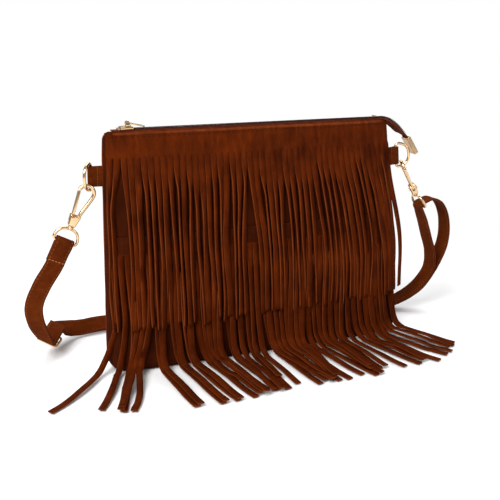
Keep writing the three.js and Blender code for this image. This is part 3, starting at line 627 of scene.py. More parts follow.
lowerRow = {
    "count": 48, "cover": 0.985, "cutTop": 108 * mm, "length": 182.3 * mm,
    "width": 5.7 * mm, "thickness": 1.1 * mm, "roll": 9, "rollSpread": 16, "sway": 2 * mm, "seed": 31,
    "bandOut": 0.8 * mm, "scatter": 10 * mm, "scatterFrom": (15 * mm, 125 * mm), "straight": 50 * mm,
    # how a strip flattens on its way down, and where it arches off the floor's bend
    "stand": 0.3 * mm, "arch": 1.4 * mm, "archUp": (85 * mm, 110 * mm), "archDown": (135 * mm, 160 * mm),
    "opening": 30 * mm, "flat": 0.8, "flatFrom": (70 * mm, 130 * mm),
    "band": ((108, 0), (115, 0), (122, 0)),
    # where a strip's tip goes sideways from its root, by the root's x
    "tips": (
        (-140, 6), (-134, -64), (-130, -80), (-126, -34), (-119, -30), (-110, -36), (-104, -34), (-100, 8),
        (-88, 14), (-74, 18), (-66, 20), (-50, 22), (-36, 15), (-26, 8), (-14, 1), (-9, -1), (-4, 6), (6, 18),
        (24, 14), (34, 4), (46, 18), (58, 24), (70, 4), (80, 8), (92, 28), (104, 24), (114, 38), (126, 44),
        (136, 42), (144, 38),
    ),
    # how much longer or shorter a strip reaches than the rest, by the root's x
    "reach": (
        (-140, -16), (-134, 4), (-130, 8), (-126, 0), (-119, 6), (-104, 6), (-88, 3), (-50, 4), (-20, 1),
        (-13, 0), (-12, -22), (-6, -22), (-5, 2), (24, 2), (34, -4), (46, 3), (58, 4), (70, -8), (92, 0),
        (104, 0), (114, 8), (122, 6), (130, -8), (144, -4),
    ),
}


def rowStrips(row):
    rng = random.Random(row["seed"])
    z = row["cutTop"]
    strips = []
    for i in range(row["count"]):
        pitch = 2 * row["cover"] / row["count"]
        across = -row["cover"] + (i + 0.5) * pitch
        strips.append({
            "x": rimPoint(across, z), "down": hang["top"] - z, "seed": i * 2.7 + row["seed"],
            "width": row["width"] * rng.uniform(0.94, 1.04), "crown": rng.uniform(0.1, 0.5) * mm,
            "length": row["length"] + rng.uniform(-3, 3) * mm,
            "tilt": math.radians(row["roll"] + rng.uniform(-1, 1) * row["rollSpread"]),
            "curl": math.radians(rng.uniform(-24, 24)), "bandOut": row["bandOut"],
            "cuts": (across - pitch / 2, across + pitch / 2), "onset": rng.uniform(0, 26) * mm,
        })
    return strips


def swayOf(strip, s, amount):
    grow = smooth(s, 0, 120 * mm)
    own = ripple(strip["seed"], s * 16, 1.5)
    group = ripple(strip["x"] * 22, s * 9, 8.5)
    return amount * grow * (0.8 * own + 1.6 * group)


def makeBand(bm, row):
    # the uncut top of a row
    def place(u, v):
        z, back = pick(row["band"], v)
        return bandPoint((2 * u - 1) * row["cover"], z * mm, row["bandOut"] - back * mm)

    addGrid(bm, 2 * row["count"], len(row["band"]) - 1, place)
    bmesh.ops.remove_doubles(bm, verts=bm.verts, dist=0.02 * mm)
    bmesh.ops.recalc_face_normals(bm, faces=bm.faces)


def makeRow(row, motion):
    # lays the strips of a row one after another, then adds the band above them
    bm = bmesh.new()
    for strip in rowStrips(row):
        strip.update(motion(row, strip))
        addStrip(bm, layStrip(strip, row["thickness"]), strip)
    makeBand(bm, row)
    return bm


# A motion gives three functions of the way down a strip: drift goes sideways,
# roll turns about the strip's length and stand lifts it off what is below.
def upperMotion(row, strip):
    def drift(s):
        z = hang["top"] - (strip["down"] + s)
        part = 0.0
        for x, amount, reach, begins, widest in row["partings"]:
            away = strip["x"] / mm - x
            size = smooth(begins * mm - z, 0, (begins - widest) * mm)
            part += math.copysign(amount, away) * mm * math.exp(-abs(away) / reach) * size
        part += row["fan"] * smooth(strip["x"], *row["fanAcross"]) * smooth(s, *row["fanDown"])
        return part + swayOf(strip, s, row["sway"])

    def roll(s):
        turn = ripple(strip["seed"], s * 12, 4.5)
        opened = smooth(s, strip["onset"], strip["onset"] + row["opening"])
        return opened * (strip["tilt"] + strip["curl"] * 2 * turn)

    def stand(s):
        wave = 1 + ripple(strip["seed"], s * 14, 6.5)
        return row["stand"] * smooth(s, *row["standFrom"]) * wave

    return {"drift": drift, "roll": roll, "stand": stand}


def lowerMotion(row, strip):
    tip = between(strip["x"] / mm, row["tips"]) * mm
    aside = row["scatter"] * ripple(strip["x"] * 75, strip["seed"] * 0.31, 3.5)
    strip["length"] += between(strip["x"] / mm, row["reach"]) * mm

    def drift(s):
        go = max(0.0, (s - row["straight"]) / (strip["length"] - row["straight"])) ** 1.7
        return tip * go + aside * smooth(s, *row["scatterFrom"]) + swayOf(strip, s, row["sway"])

    def roll(s):
        turn = ripple(strip["seed"], s * 10, 4.5)
        flat = 1 - row["flat"] * smooth(s, *row["flatFrom"])
        return flat * smooth(s, 0, row["opening"]) * (strip["tilt"] + strip["curl"] * 2.2 * turn)

    def stand(s):
        wave = 1 + ripple(strip["seed"], s * 11, 6.5)
        arch = smooth(s, *row["archUp"]) * (1 - smooth(s, *row["archDown"]))
        return wave * (row["stand"] + row["arch"] * arch)

    return {"drift": drift, "roll": roll, "stand": stand}


def makeUpperFringe():
    row = upperRow
    bm = makeRow(row, upperMotion)
    piece = finishPiece(bm, "fringe_upper", "bag", ["fringe", "cutEdge"], 50)
    thicken(piece, row["thickness"], 0.0, rim=1, even=False)
    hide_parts("upper_fringe")


def makeLowerFringe():
    row = lowerRow
    bm = makeRow(row, lowerMotion)
    # what stands above the cuts lies in shade under the upper row, so it gets the darker suede: painted shade
    for face in bm.faces:
        if face.calc_center_median().z > row["cutTop"]:
            face.material_index = 2
    materials = ["fringe", "cutEdge", "paintedShade", "cutEdge"]
    piece = finishPiece(bm, "fringe_lower", "bag", materials, 50)
    thicken(piece, row["thickness"], 0.0, rim=1, even=False)
    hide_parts("lower_fringe")


rimFold = {
    "level": 208.3 * mm, "cover": 0.975, "turn": math.pi * 1.15, "deep": 1.1 * mm, "high": 1.3 * mm,
    "frontOut": 2.2 * mm, "backOut": 0.1 * mm, "taper": 0.06, "wall": 0.5 * mm,
    "piping": 1 * mm, "pipingFrom": 12, "pipingTo": 204, "pipingIn": 0.5 * mm,
}


def makeRim():
    # the turned rim of the front and back, and the piped seams down the sides
    s = rimFold
    bm = bmesh.new()
    for side, out in ((-1, s["frontOut"]), (1, s["backOut"])):
        def place(u, v):
            across = (2 * u - 1) * s["cover"]
            turn = s["turn"] * v
            size = smooth(1 - abs(2 * u - 1), 0, s["taper"])
            level = s["level"]
            x = rimPoint(across, level)
            fold = s["deep"] * size * (math.sin(turn) - 0.35)
            y = -frontY(x, level, 0.97) + out * mix(0.4, 1, size) + fold
            wave = 0.2 * mm * ripple(x * 40, side * 3.0, v)
            drop = rimHeight(across) - pouch["height"]
            return Vector((x, side * y, level - s["high"] * size * math.cos(turn) + wave + drop))
        addGrid(bm, 90, 6, place)
    bmesh.ops.recalc_face_normals(bm, faces=bm.faces)
    rim = finishPiece(bm, "turned_rim", "bag", ["rim"], 60)
    thicken(rim, s["wall"])
    bm = bmesh.new()
    last = 24
    # the piping runs out thin at both ends
    radii = [min(1, 0.3 + 0.35 * min(i, last - i)) for i in range(last + 1)]
    for side in (-1, 1):
        points = []
        for i in range(last + 1):
            z = mix(s["pipingFrom"], s["pipingTo"], i / last) * mm
            wave = 0.25 * mm * ripple(z * 60, side * 5.0, 1.5)
            points.append((middleX(z) + side * (halfWidth(z) - s["pipingIn"] + wave), 0, z))
        addWire(bm, points, s["piping"], steps=2, radii=radii)
    finishPiece(bm, "side_piping", "bag", ["rim"], 60)


# seams across the pouch: height, stitches each way from the middle, share of the width, side, how far out,
# a stitch's length and thickness
seams = (
    (205.8 * mm, 29, 0.955, -1, 2.15 * mm, 2.7 * mm, 0.8 * mm),  # through the folded band
    (205.8 * mm, 29, 0.955, 1, 0.1 * mm, 2.7 * mm, 0.9 * mm),
    (116 * mm, 43, 0.97, -1, 1.45 * mm, 2.1 * mm, 0.5 * mm),  # through the lower row's band
)


def makeSeams():
    bm = bmesh.new()
    for z, count, cover, side, out, length, thick in seams:
        for i in range(-count, count + 1):
            x = rimPoint(i / count * cover, z)
            point = Vector((x, side * (out - frontY(x, z)), z))
            addStitch(bm, point, xAxis, yAxis * side, length, thick)
    finishPiece(bm, "pouch_seams", "bag", ["thread"])


print("pouch")
makePouch()
makeLining()
print("fringe")
makeLowerFringe()
makeUpperFringe()
makeRim()
makeSeams()


class Way:
    # a centripetal curve through points, each piece between two neighbours
    def __init__(self, points):
        self.points = [Vector(point) for point in points]

    def at(self, share):
        last = len(self.points) - 1
        place = min(max(share, 0.0), 1.0) * last
        i = min(int(place), last - 1)
        w = place - i
        p1, p2 = self.points[i], self.points[i + 1]
        p0 = self.points[i - 1] if i > 0 else p1 * 2 - p2
        p3 = self.points[i + 2] if i + 2 <= last else p2 * 2 - p1
        d0, d1, d2 = (math.sqrt((b - a).length) for a, b in ((p0, p1), (p1, p2), (p2, p3)))
        m1 = ((p1 - p0) / d0 - (p2 - p0) / (d0 + d1) + (p2 - p1) / d1) * d1
        m2 = ((p2 - p1) / d1 - (p3 - p1) / (d1 + d2) + (p3 - p2) / d2) * d1
        return p1 + m1 * w + (p2 * 3 - p1 * 3 - m1 * 2 - m2) * w ** 2 + (p1 * 2 - p2 * 2 + m1 + m2) * w ** 3

    def tangent(self, share):
        return (self.at(min(1.0, share + 0.0001)) - self.at(max(0.0, share - 0.0001))).normalized()

    def walk(self, step):
        # points an even step apart along the way
        fine = [self.at(i / 600) for i in range(601)]
        shares, gone = [0.0], 0.0
        for i in range(1, 601):
            gone += (fine[i] - fine[i - 1]).length
            if gone >= step:
                shares.append(i / 600)
                gone = 0.0
        return [(self.at(share), self.tangent(share)) for share in shares]


zipper = {
    "start": -120 * mm, "end": 123 * mm, "bottom": 210.6 * mm,
    "tape": 0.6 * mm, "tapeStart": -127 * mm, "tapeInner": 0.7 * mm, "tapeOuter": 4.4 * mm,
    "legSpan": (-126 * mm, 122 * mm), "legFoot": 204 * mm, "legY": 4.05 * mm,
    "coilY": 1.85 * mm, "coilWide": 0.85 * mm, "coilHigh": 0.45 * mm, "pitch": 1.2 * mm, "thread": 0.4 * mm,
}
tail = Way([Vector(p) * mm for p in (
    (123, 0, 210.6), (135, 0, 210.0), (147, 0, 203.1), (156.5, 0, 192.6), (161, 0, 185.6))])


def zipFrames(step):
    # (point, along, up) along the rim and then the tail
    frames = []
    count = int((zipper["end"] - zipper["tapeStart"]) / step)
    for i in range(count):
        x = mix(zipper["tapeStart"], zipper["end"], i / count)
        frames.append((Vector((x, 0, zipper["bottom"])), xAxis, zAxis))
    for point, along in tail.walk(step):
        frames.append((point, along, Vector((-along.z, 0, along.x))))
    return frames


def makeTapes():
    frames = zipFrames(3 * mm)
    for name, side in (("front", -1), ("back", 1)):
        bm = bmesh.new()

        def flat(u, v):
            point, along, up = pick(frames, v)
            # the loose tail spreads and droops at its edges, and narrows again into its cap
            loose = smooth(point.x, 124 * mm, 140 * mm) * (1 - smooth(point.x, 151 * mm, 156.5 * mm))
            y = mix(zipper["tapeInner"], zipper["tapeOuter"] + 2.6 * mm * loose, u)
            curl = loose * (0.3 * mm * math.sin(point.x * 160 + side) - 3.4 * mm * u) * u
            return point + up * (zipper["tape"] / 2 + curl) + Vector((0, side * y, 0))

        def leg(u, v):
            # the tape's edge, turned down inside the panel
            x = mix(*zipper["legSpan"], v)
            z = mix(zipper["bottom"] + zipper["tape"] / 2, zipper["legFoot"], u)
            return Vector((x, side * zipper["legY"], z))

        addGrid(bm, 4, len(frames) - 1, flat)
        addGrid(bm, 2, 30, leg)
        piece = finishPiece(bm, f"tape_{name}", "bag", ["tape"])
        thicken(piece, zipper["tape"], 0.0)
        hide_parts(f"zip_tape_{name}")


def makeCoils():
    frames = zipFrames(zipper["pitch"] / 8)
    start = next(i for i, row in enumerate(frames) if row[0].x > zipper["start"] + zipper["thread"])
    for name, side in (("front", -1), ("back", 1)):
        points = []
        for i, (point, along, up) in enumerate(frames[start:]):
            turn = 2 * math.pi * i / 8 + (math.pi if side > 0 else 0)
            y = side * (zipper["coilY"] + zipper["coilWide"] * math.cos(turn))
            points.append(point + up * (1.05 * mm + zipper["coilHigh"] * math.sin(turn)) + Vector((0, y, 0)))
        bm = bmesh.new()
        addWire(bm, points, zipper["thread"], sides=1, steps=1)
        piece = finishPiece(bm, f"coil_{name}", "bag", ["coil"], 80)
        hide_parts(f"zip_teeth_{name}")


def carved(bm, cutters):
    # takes the cutters' shapes out of a shape, and returns the rest
    def holder(shape):
        mesh = bpy.data.meshes.new("carve")
        shape.to_mesh(mesh)
        shape.free()
        return addObject("carve", mesh)

    body, tools = holder(bm), [holder(cutter) for cutter in cutters]
    for tool in tools:
        bite = body.modifiers.new("bite", "BOOLEAN")
        bite.operation = "DIFFERENCE"
        bite.use_self = True
        bite.object = tool
    mesh = bpy.data.meshes.new_from_object(body.evaluated_get(bpy.context.evaluated_depsgraph_get()))
    for obj in (body, *tools):
        old = obj.data
        bpy.data.objects.remove(obj)
        bpy.data.meshes.remove(old)
    rest = bmesh.new()
    rest.from_mesh(mesh)
    bpy.data.meshes.remove(mesh)
    return rest


def mirrored(first, second):
    # a block's corners or a rod's ends on the other side of y = 0
    return (first[0], -second[1], first[2]), (second[0], -first[1], second[2])


# blocks here are (low corner, high corner, rounding) in mm
slider = {
    "pivot": Vector((-113.18, 0, 216.7)) * mm,
    "plates": (
        ((-120, -4.4, 212.7), (-109, 4.4, 213.7), 0.4),
        ((-119, -3.4, 213.4), (-110, 3.4, 213.95), 0.24),
        ((-120, -3, 209.3), (-109, 3, 210.3), 0.3),
        ((-120, -0.6, 209.6), (-117, 0.6, 213.4), 0),  # the wedge between the upper and lower plates
    ),
    # on both sides: the plate's turned edge, the bar's cheek and the cheek's foot
    "sides": (
        ((-120, 3.1, 211.7), (-109, 4.4, 213.5), 0.3),
        ((-114.88, 1.5, 213.5), (-111.48, 2.5, 216.7), 0.2),
        ((-117.58, 1.5, 213.5), (-109.78, 2.5, 214.4), 0.3),
    ),
    "cheek": ((-113.18, 1.5, 216.7), (-113.18, 2.5, 216.7)), "cheekRadius": 1.7,
    "bar": ((-113.18, -2.1, 216.7), (-113.18, 2.1, 216.7)), "barRadius": 0.6,
}


def makeSlider():
    s = slider
    bm = bmesh.new()
    for low, high, bevel in s["plates"]:
        addBlock(bm, low, high, bevel)
    for low, high, bevel in s["sides"]:
        addBlock(bm, low, high, bevel)
        addBlock(bm, *mirrored(low, high), bevel)
    for ends in (s["cheek"], mirrored(*s["cheek"])):
        addRod(bm, *ends, s["cheekRadius"], 28, 0.2)
    addRod(bm, *s["bar"], s["barRadius"])
    piece = finishPiece(bm, "slider_body", "slider", ["gold"])
    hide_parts("zip_slider")


pullTab = {"length": 15, "half": 2.5, "thick": 0.6, "eye": 1.8, "bore": 0.9, "drop": math.asin(3.4 / 15)}


def makePull():
    s = pullTab
    half, thick, end = s["half"], s["thick"], s["length"] - s["half"]
    bm = solid(addRod, (0, -1.2, 0), (0, 1.2, 0), s["eye"], 28, 0.25)
    addBlock(bm, (1.2, -1.2, -thick), (4.2, 1.2, thick), 0.2)
    addBlock(bm, (3.4, -half, -thick), (end, half, thick), 0.3)
    addRod(bm, (end, 0, -thick), (end, 0, thick), half, 32, 0.3)
    bore = solid(addRod, (0, -3, 0), (0, 3, 0), s["bore"], 24)
    window = solid(addBlock, (7, -1, -2), (12, 1, 2), 0.8)
    bm = carved(bm, [bore, window])
    bm.transform(Matrix.Translation(slider["pivot"]) @ Matrix.Rotation(s["drop"], 4, "Y"))
    piece = finishPiece(bm, "pull_tab", "pull", ["gold"])
    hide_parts("zip_pull")


tailCap = {"length": 19, "wide": 5.6, "high": 2.1, "wall": 0.9, "pocket": 7, "lap": 0.3, "rise": 0.9 * mm}


def makeCap():
    s = tailCap
    way = tail.tangent(1.0)
    up = Vector((-way.z, 0, way.x))
    # the cap's mouth lies back along the tail from the tape's end
    mouth = tail.at(1.0) + up * s["rise"] + way * (s["lap"] - s["pocket"]) * mm
    wide, high, wall = s["wide"], s["high"], s["wall"]
    hollow = solid(addBlock, (-1, wall - wide, wall - high), (s["pocket"], wide - wall, high - wall))
    # a fine line round the mouth, cut into the top and the bottom
    line = bmesh.new()
    for top in (-high, high):
        addBlock(line, (1.2, -9, top - 0.16), (1.6, 9, top + 0.16))
    bm = carved(solid(addBlock, (0, -wide, -high), (s["length"], wide, high), 0.7, 3), [hollow, line])
    bm.transform(axesAt(mouth, way, yAxis, up))
    piece = finishPiece(bm, "tail_cap", "bag", ["satin"])
    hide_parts("zip_tail_cap")


sideFit = {
    "height": 173.6 * mm, "reach": 10 * mm, "width": 17.3 * mm, "leather": 1.1 * mm, "inner": 1.55 * mm,
    "wire": 1.3 * mm, "halfBar": 11.2 * mm, "depth": 12.5 * mm, "seam": 4.6 * mm, "seamOut": 1.5 * mm,
    # the tab's way out from the pouch to the bar, in mm, which it takes back behind
    "root": ((-1.6, -0.85, 0), (3, -0.85, 0), (5.8, -1.1, 0)),
}


def dPoints(halfBar, depth):
    # a D: five points along its bar, then the bow
    count = 17
    points = [Vector((halfBar * share, 0, 0)) for share in (-0.83, -0.5, 0, 0.5, 0.83)]
    for i in range(count):
        angle = math.radians(mix(8, 172, i / (count - 1)))
        across = math.cos(angle)
        x = halfBar * math.copysign(abs(across) ** 0.8, across)
        points.append(Vector((x, 0, depth * math.sin(angle) ** 0.8)))
    return points


def sidePlace(side):
    z = sideFit["height"]
    x = middleX(z) + side * halfWidth(z)
    slope = (middleX(z + mm) + side * halfWidth(z + mm) - x) / mm
    turn = Matrix.Rotation(math.pi, 4, "Z") if side < 0 else Matrix.Identity(4)
    return Matrix.Translation((x, 0, z)) @ Matrix.Rotation(math.atan(slope), 4, "Y") @ turn


def makeSide(name, side, swing):
    s = sideFit
    place = sidePlace(side)
    mid = s["inner"] + s["leather"] / 2
    path = [Vector(p) * mm for p in s["root"]]
    for i in range(13):
        angle = math.radians(mix(-96, 96, i / 12))
        path.append(Vector((s["reach"] + mid * math.cos(angle), mid * math.sin(angle), 0)))
    path += [Vector((p.x, -p.y, 0)) for p in reversed(path[:3])]
    loop = Way(path)
    bm = bmesh.new()

    def wrap(u, v):
        point = loop.at(v)
        pinch = 1 - 0.06 * math.sin(math.pi * v)
        point.z = (u - 0.5) * s["width"] * pinch
        return place @ point

    addGrid(bm, 6, 60, wrap)
    bmesh.ops.recalc_face_normals(bm, faces=bm.faces)
    tab = finishPiece(bm, f"side_tab_{name}", "bag", ["strap", "cutEdge"], 60)
    thicken(tab, s["leather"], 0.0, rim=1)
    soften(tab, 0.25 * mm)
    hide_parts(f"tab_{name}")

    bm = bmesh.new()
    turned = place.to_3x3()
    for face in (-1, 1):
        for i in range(7):
            point = Vector((s["seam"], face * s["seamOut"], mix(-7.2, 7.2, i / 6) * mm))
            addStitch(bm, place @ point, turned @ zAxis, turned @ (yAxis * face), 1.9 * mm)
    finishPiece(bm, f"side_tab_stitches_{name}", "bag", ["strapThread"])

    bm = bmesh.new()
    swung = Matrix.Rotation(math.radians(-side * swing), 4, "Z") @ Matrix.Rotation(math.pi / 2, 4, "Y")
    turn = place @ Matrix.Translation((s["reach"], 0, 0)) @ swung
    addWire(bm, dPoints(s["halfBar"], s["depth"]), s["wire"], turn, closed=True, sides=5)
    ring = finishPiece(bm, f"ring_{name}", f"ring_{name}", ["gold"], 60)
    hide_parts(f"d_ring_{name}")


# snap hooks, each drawn with its swivel's face at the origin and its bow up
hook = {
    "wire": 1.6 * mm, "bow": 6.4 * mm, "bowHeight": 30 * mm, "bowEnd": 172,
    "rivet": Vector((-2.4, 0, 7)) * mm,
    # the stem's way from the base up to the bow, in mm, and the wire's share of its thickness along it all
    "stem": ((2.3, 0, 7), (2.9, 0, 13), (4.6, 0, 20), (5.9, 0, 26)),
    "shares": ((0, 1.0), (0.9, 1.0), (0.96, 0.99), (1, 0.97)),
    # blocks and rods of the base and what is cut from it, in mm
    "base": ((-5, -3.2, 0), (4, 3.2, 10)), "narrowBelow": 3 * mm, "narrow": 0.72,
    "slot": ((-6, -1.3, 4.4), (0.9, 1.3, 12)), "bore": ((-2.4, -5, 7), (-2.4, 5, 7), 1.3),
    "hole": ((0, 0, -1), (0, 0, 2), 1.7), "pocket": ((0, 0, 1.4), (0, 0, 3.4), 2.5),
    "lever": 1.3, "leverThick": 1, "leverShort": 0.9, "leverEye": 2,
    "pin": ((-2.4, -3.7, 7), (-2.4, 3.7, 7), 1), "head": ((-2.4, 3.5, 7), (-2.4, 4.2, 7)), "headRadius": 1.8,
    "ringDrop": 14.5 * mm, "ringHalf": 10.2 * mm, "ringDepth": 12 * mm, "ringWire": 1.2 * mm,
    # the swivel's stud: start, end, radius, sides and rounding of each of its rods, in mm
    "stud": (
        ((0, 0, -2.5), (0, 0, 2.4), 1.3, 24, 0), ((0, 0, -1.9), (0, 0, -0.3), 2.4, 32, 0.4),
        ((0, 0, -3.4), (0, 0, -1.7), 1.7, 32, 0.4), ((0, 0, 1.7), (0, 0, 3), 2.1, 24, 0.2),
    ),
}
hookPlaces = {
    "left": {"at": Vector((-164.925, -5.12, 134.397)) * mm, "tilt": 27.4, "turn": 0, "ringTurn": 0},
    "right": {"at": Vector((171.023, -1.618, 135.916)) * mm, "tilt": -28.7, "turn": 70, "ringTurn": 90},
}


def hookFrame(s, turn):
    tilt = Matrix.Rotation(math.radians(s["tilt"]), 4, "Y")
    return Matrix.Translation(s["at"]) @ tilt @ Matrix.Rotation(math.radians(turn), 4, "Z")


def bowPoint(degrees):
    angle = math.radians(degrees)
    return Vector((hook["bow"] * math.cos(angle), 0, hook["bowHeight"] + hook["bow"] * math.sin(angle)))


def makeHook(name, placing):
    s = hook
    stand = hookFrame(placing, placing["turn"])
    bm = bmesh.new()
    for vert in addBlock(bm, *s["base"], 1.3, 4):
        if vert.is_valid and vert.co.z < s["narrowBelow"]:
            vert.co.x = vert.co.x * s["narrow"] - 0.1 * mm
    cutters = [solid(addBlock, *s["slot"])] + [solid(addRod, *s[part]) for part in ("bore", "hole", "pocket")]
    bm = carved(bm, cutters)
    points = [Vector(p) * mm for p in s["stem"]] + [bowPoint(mix(0, s["bowEnd"], i / 12)) for i in range(13)]
    radii = [between(i / 16, s["shares"]) for i in range(17)]
    addWire(bm, points, s["wire"], sides=6, steps=5, radii=radii)
    bm.transform(stand)
    piece = finishPiece(bm, f"snap_{name}", f"clip_{name}", ["gold"], 45)
    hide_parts(f"hook_{name}")

    lever = bowPoint(s["bowEnd"]) - s["rivet"]
    reach = lever.length / mm - s["leverShort"]
    thick, wide = s["leverThick"], s["lever"]
    bm = solid(addRod, (0, -thick, 0), (0, thick, 0), s["leverEye"], 28, 0.2)
    addBlock(bm, (-wide, -thick, 0), (wide, thick, reach), 0.45, 3)
    bm = carved(bm, [solid(addRod, (0, -3, 0), (0, 3, 0), 1.3)])
    turn = Matrix.Rotation(math.atan2(lever.x, lever.z), 4, "Y")
    bm.transform(stand @ Matrix.Translation(s["rivet"]) @ turn)
    piece = finishPiece(bm, f"snap_gate_{name}", f"clip_gate_{name}", ["gold"], 45)
    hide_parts(f"gate_{name}")

    bm = solid(addRod, *s["pin"], 24)
    for ends in (s["head"], mirrored(*s["head"])):
        addRod(bm, *ends, s["headRadius"], 28, 0.3)
    bm.transform(stand)
    piece = finishPiece(bm, f"snap_rivet_{name}", f"clip_{name}", ["gold"])
    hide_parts(f"gate_rivet_{name}")

    bm = bmesh.new()
    points = [p - zAxis * s["ringDrop"] for p in dPoints(s["ringHalf"], s["ringDepth"])]
    addWire(bm, points, s["ringWire"], closed=True, sides=5)
    for rod in s["stud"]:
        addRod(bm, *rod)
    bm.transform(hookFrame(placing, placing["ringTurn"]))
    piece = finishPiece(bm, f"swivel_ring_{name}", "bag", ["gold"])
    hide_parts(f"strap_ring_{name}")


strapCut = {
    "width": 15.4 * mm, "thick": 2 * mm, "layer": 1.15 * mm, "round": 2.5 * mm,
    "edge": 1.7 * mm, "stitch": 3.3 * mm, "margin": 6 * mm, "step": 3 * mm, "bend": 0.12, "spare": 0.1 * mm,
    # where the line of stitches lies that closes the left loop: down from the ring, and its range of lengths
    "closing": 16.5 * mm, "closingFrom": 24 * mm, "closingTo": 60 * mm,
}
leftBar = {"at": Vector((-171.598, -5.12, 121.524)) * mm, "down": Vector((-0.4602, 0, -0.8878))}
rightBar = Vector((177.986, -1.618, 123.198)) * mm
buckle = {
    "at": Vector((-182, 50, 17)) * mm, "along": Vector((0.409, 0.912, 0.038)).normalized(),
    "halfLength": 9.5 * mm, "halfWide": 9.4 * mm, "corner": 2 * mm, "wire": 1.1 * mm,
    "bar": ((-9.4, 0, 0), (9.4, 0, 0), 1),  # its ends and radius in mm
}
buckle["wide"] = Vector((0.823, -0.351, -0.446))
buckle["wide"] = (buckle["wide"] - buckle["along"] * buckle["wide"].dot(buckle["along"])).normalized()
buckle["up"] = buckle["wide"].cross(buckle["along"])


def route(*rows):
    # rows of a point in mm and the way across the strap there
    return [(Vector(row[:3]) * mm, Vector(row[3:]).normalized()) for row in rows]


singleRoute = route(
    (-181, -4, 102, 0.87, 0, -0.5), (-192, -1, 84, 0.93, -0.05, -0.36),
    (-198.5, 5, 66, 0.97, -0.1, -0.2), (-196.5, 16, 46, 0.95, -0.22, -0.25))
pairRoute = route(
    (-164, 79, 14.5, 0.5, -0.4, -0.76), (-150, 86.5, 10, 0.12, -0.25, -0.96),
    (-124, 93.5, 8.6, 0.1, -0.7, -0.7), (-95, 94, 6, 0.1, -0.96, -0.25), (-50, 87, 3.4, 0.15, -0.99, 0),
    (40, 70, 3.1, 0.17, -0.985, 0), (140, 51, 3.3, 0.17, -0.985, 0), (176, 43, 8, 0.17, -0.985, 0),
    (200, 33, 24, 0.17, -0.985, 0), (210, 23, 46, 0.17, -0.985, 0))
innerRoute = route(
    (204, 14, 68, 0.17, -0.985, 0), (194, 8, 88, 0.14, -0.99, 0), (184, 2, 107, 0.08, -1, 0))
outerRoute = route(
    (189, -1, 129.5, 0, -1, 0), (200, 1, 125, 0.05, -1, 0), (209.5, 4, 112, 0.1, -1, 0),
    (215, 7.5, 94, 0.14, -0.99, 0), (216, 11.5, 76, 0.17, -0.985, 0))


def shifted(course, amount):
    # the same course, so far out of the strap's face
    way = Way([at for at, wide in course])
    moved = []
    for i, (at, wide) in enumerate(course):
        along = way.tangent(i / (len(course) - 1))
        square = (wide - along * wide.dot(along)).normalized()
        moved.append((at + square.cross(along) * amount, wide))
    return moved


def strapRoute():
    s = strapCut
    turn, layer, down = s["round"], s["layer"], leftBar["down"]
    leftWide = down.cross(yAxis).normalized()
    # how far down from the left ring's bar, and how far behind it
    sewnEnd = (
        (19 * mm, layer), (9 * mm, layer + 0.3 * mm), (2.6 * mm, turn), (-0.75 * turn, 0.75 * turn),
        (-turn - 0.2 * mm, 0), (-0.75 * turn, -0.75 * turn), (2.6 * mm, -turn), (9 * mm, -layer - 0.3 * mm))
    course = [(leftBar["at"] + down * low + yAxis * behind, leftWide) for low, behind in sewnEnd]
    course += singleRoute

    def atBuckle(pairs):
        # each pair is how far along the buckle and how far out of its face, in mm
        b = buckle
        return [(b["at"] + b["along"] * along * mm + b["up"] * out * mm, b["wide"]) for along, out in pairs]

    course += atBuckle((
        (-20, 7), (-15, 4.2), (-10.5, 2.7), (-7.6, 1.9), (-4.4, -2), (0, -4.9), (4.4, -2), (7.6, 1.9),
        (10.5, 2.6), (18, 2.6)))
    course += shifted(pairRoute, -layer) + outerRoute[::-1]
    # round the right ring's bar
    for x, z in ((2.2, 4), (-1.6, 2.4), (-turn / mm - 0.1, -0.6), (-0.6, -5)):
        course.append((rightBar + Vector((x, 0, z)) * mm, -yAxis))
    course += innerRoute[::-1] + shifted(pairRoute, layer)[::-1]
    course += atBuckle((
        (18, 4.95), (10.5, 5), (7.4, 4.4), (4.2, 2), (1.9, -1.9), (-0.6, -2.5), (-2.5, 0), (-1, 2.7), (5, 6),
        (10, 7.5), (19, 7.4)))
    return course


def ribbonFrames(course, step, turnStep):
    # stations along the strap, closer where it bends or twists
    way = Way([at for at, wide in course])
    count, fine = len(course) - 1, 40
    frames, gone, before = [], 0.0, None
    for i in range(fine * count + 1):
        share = i / (fine * count)
        k = min(count - 1, i // fine)
        along = way.tangent(share)
        wide = course[k][1].lerp(course[k + 1][1], smooth(i / fine - k))
        wide = (wide - along * wide.dot(along)).normalized()
        point = way.at(share)
        gone += (point - before).length if before is not None else 0.0
        before = point
        if frames and i < fine * count:
            last = frames[-1]
            if gone - last["s"] < step and along.angle(last["along"]) + wide.angle(last["wide"]) < turnStep:
                continue
        frames.append({"at": point, "along": along, "wide": wide, "out": wide.cross(along), "s": gone})
    return frames


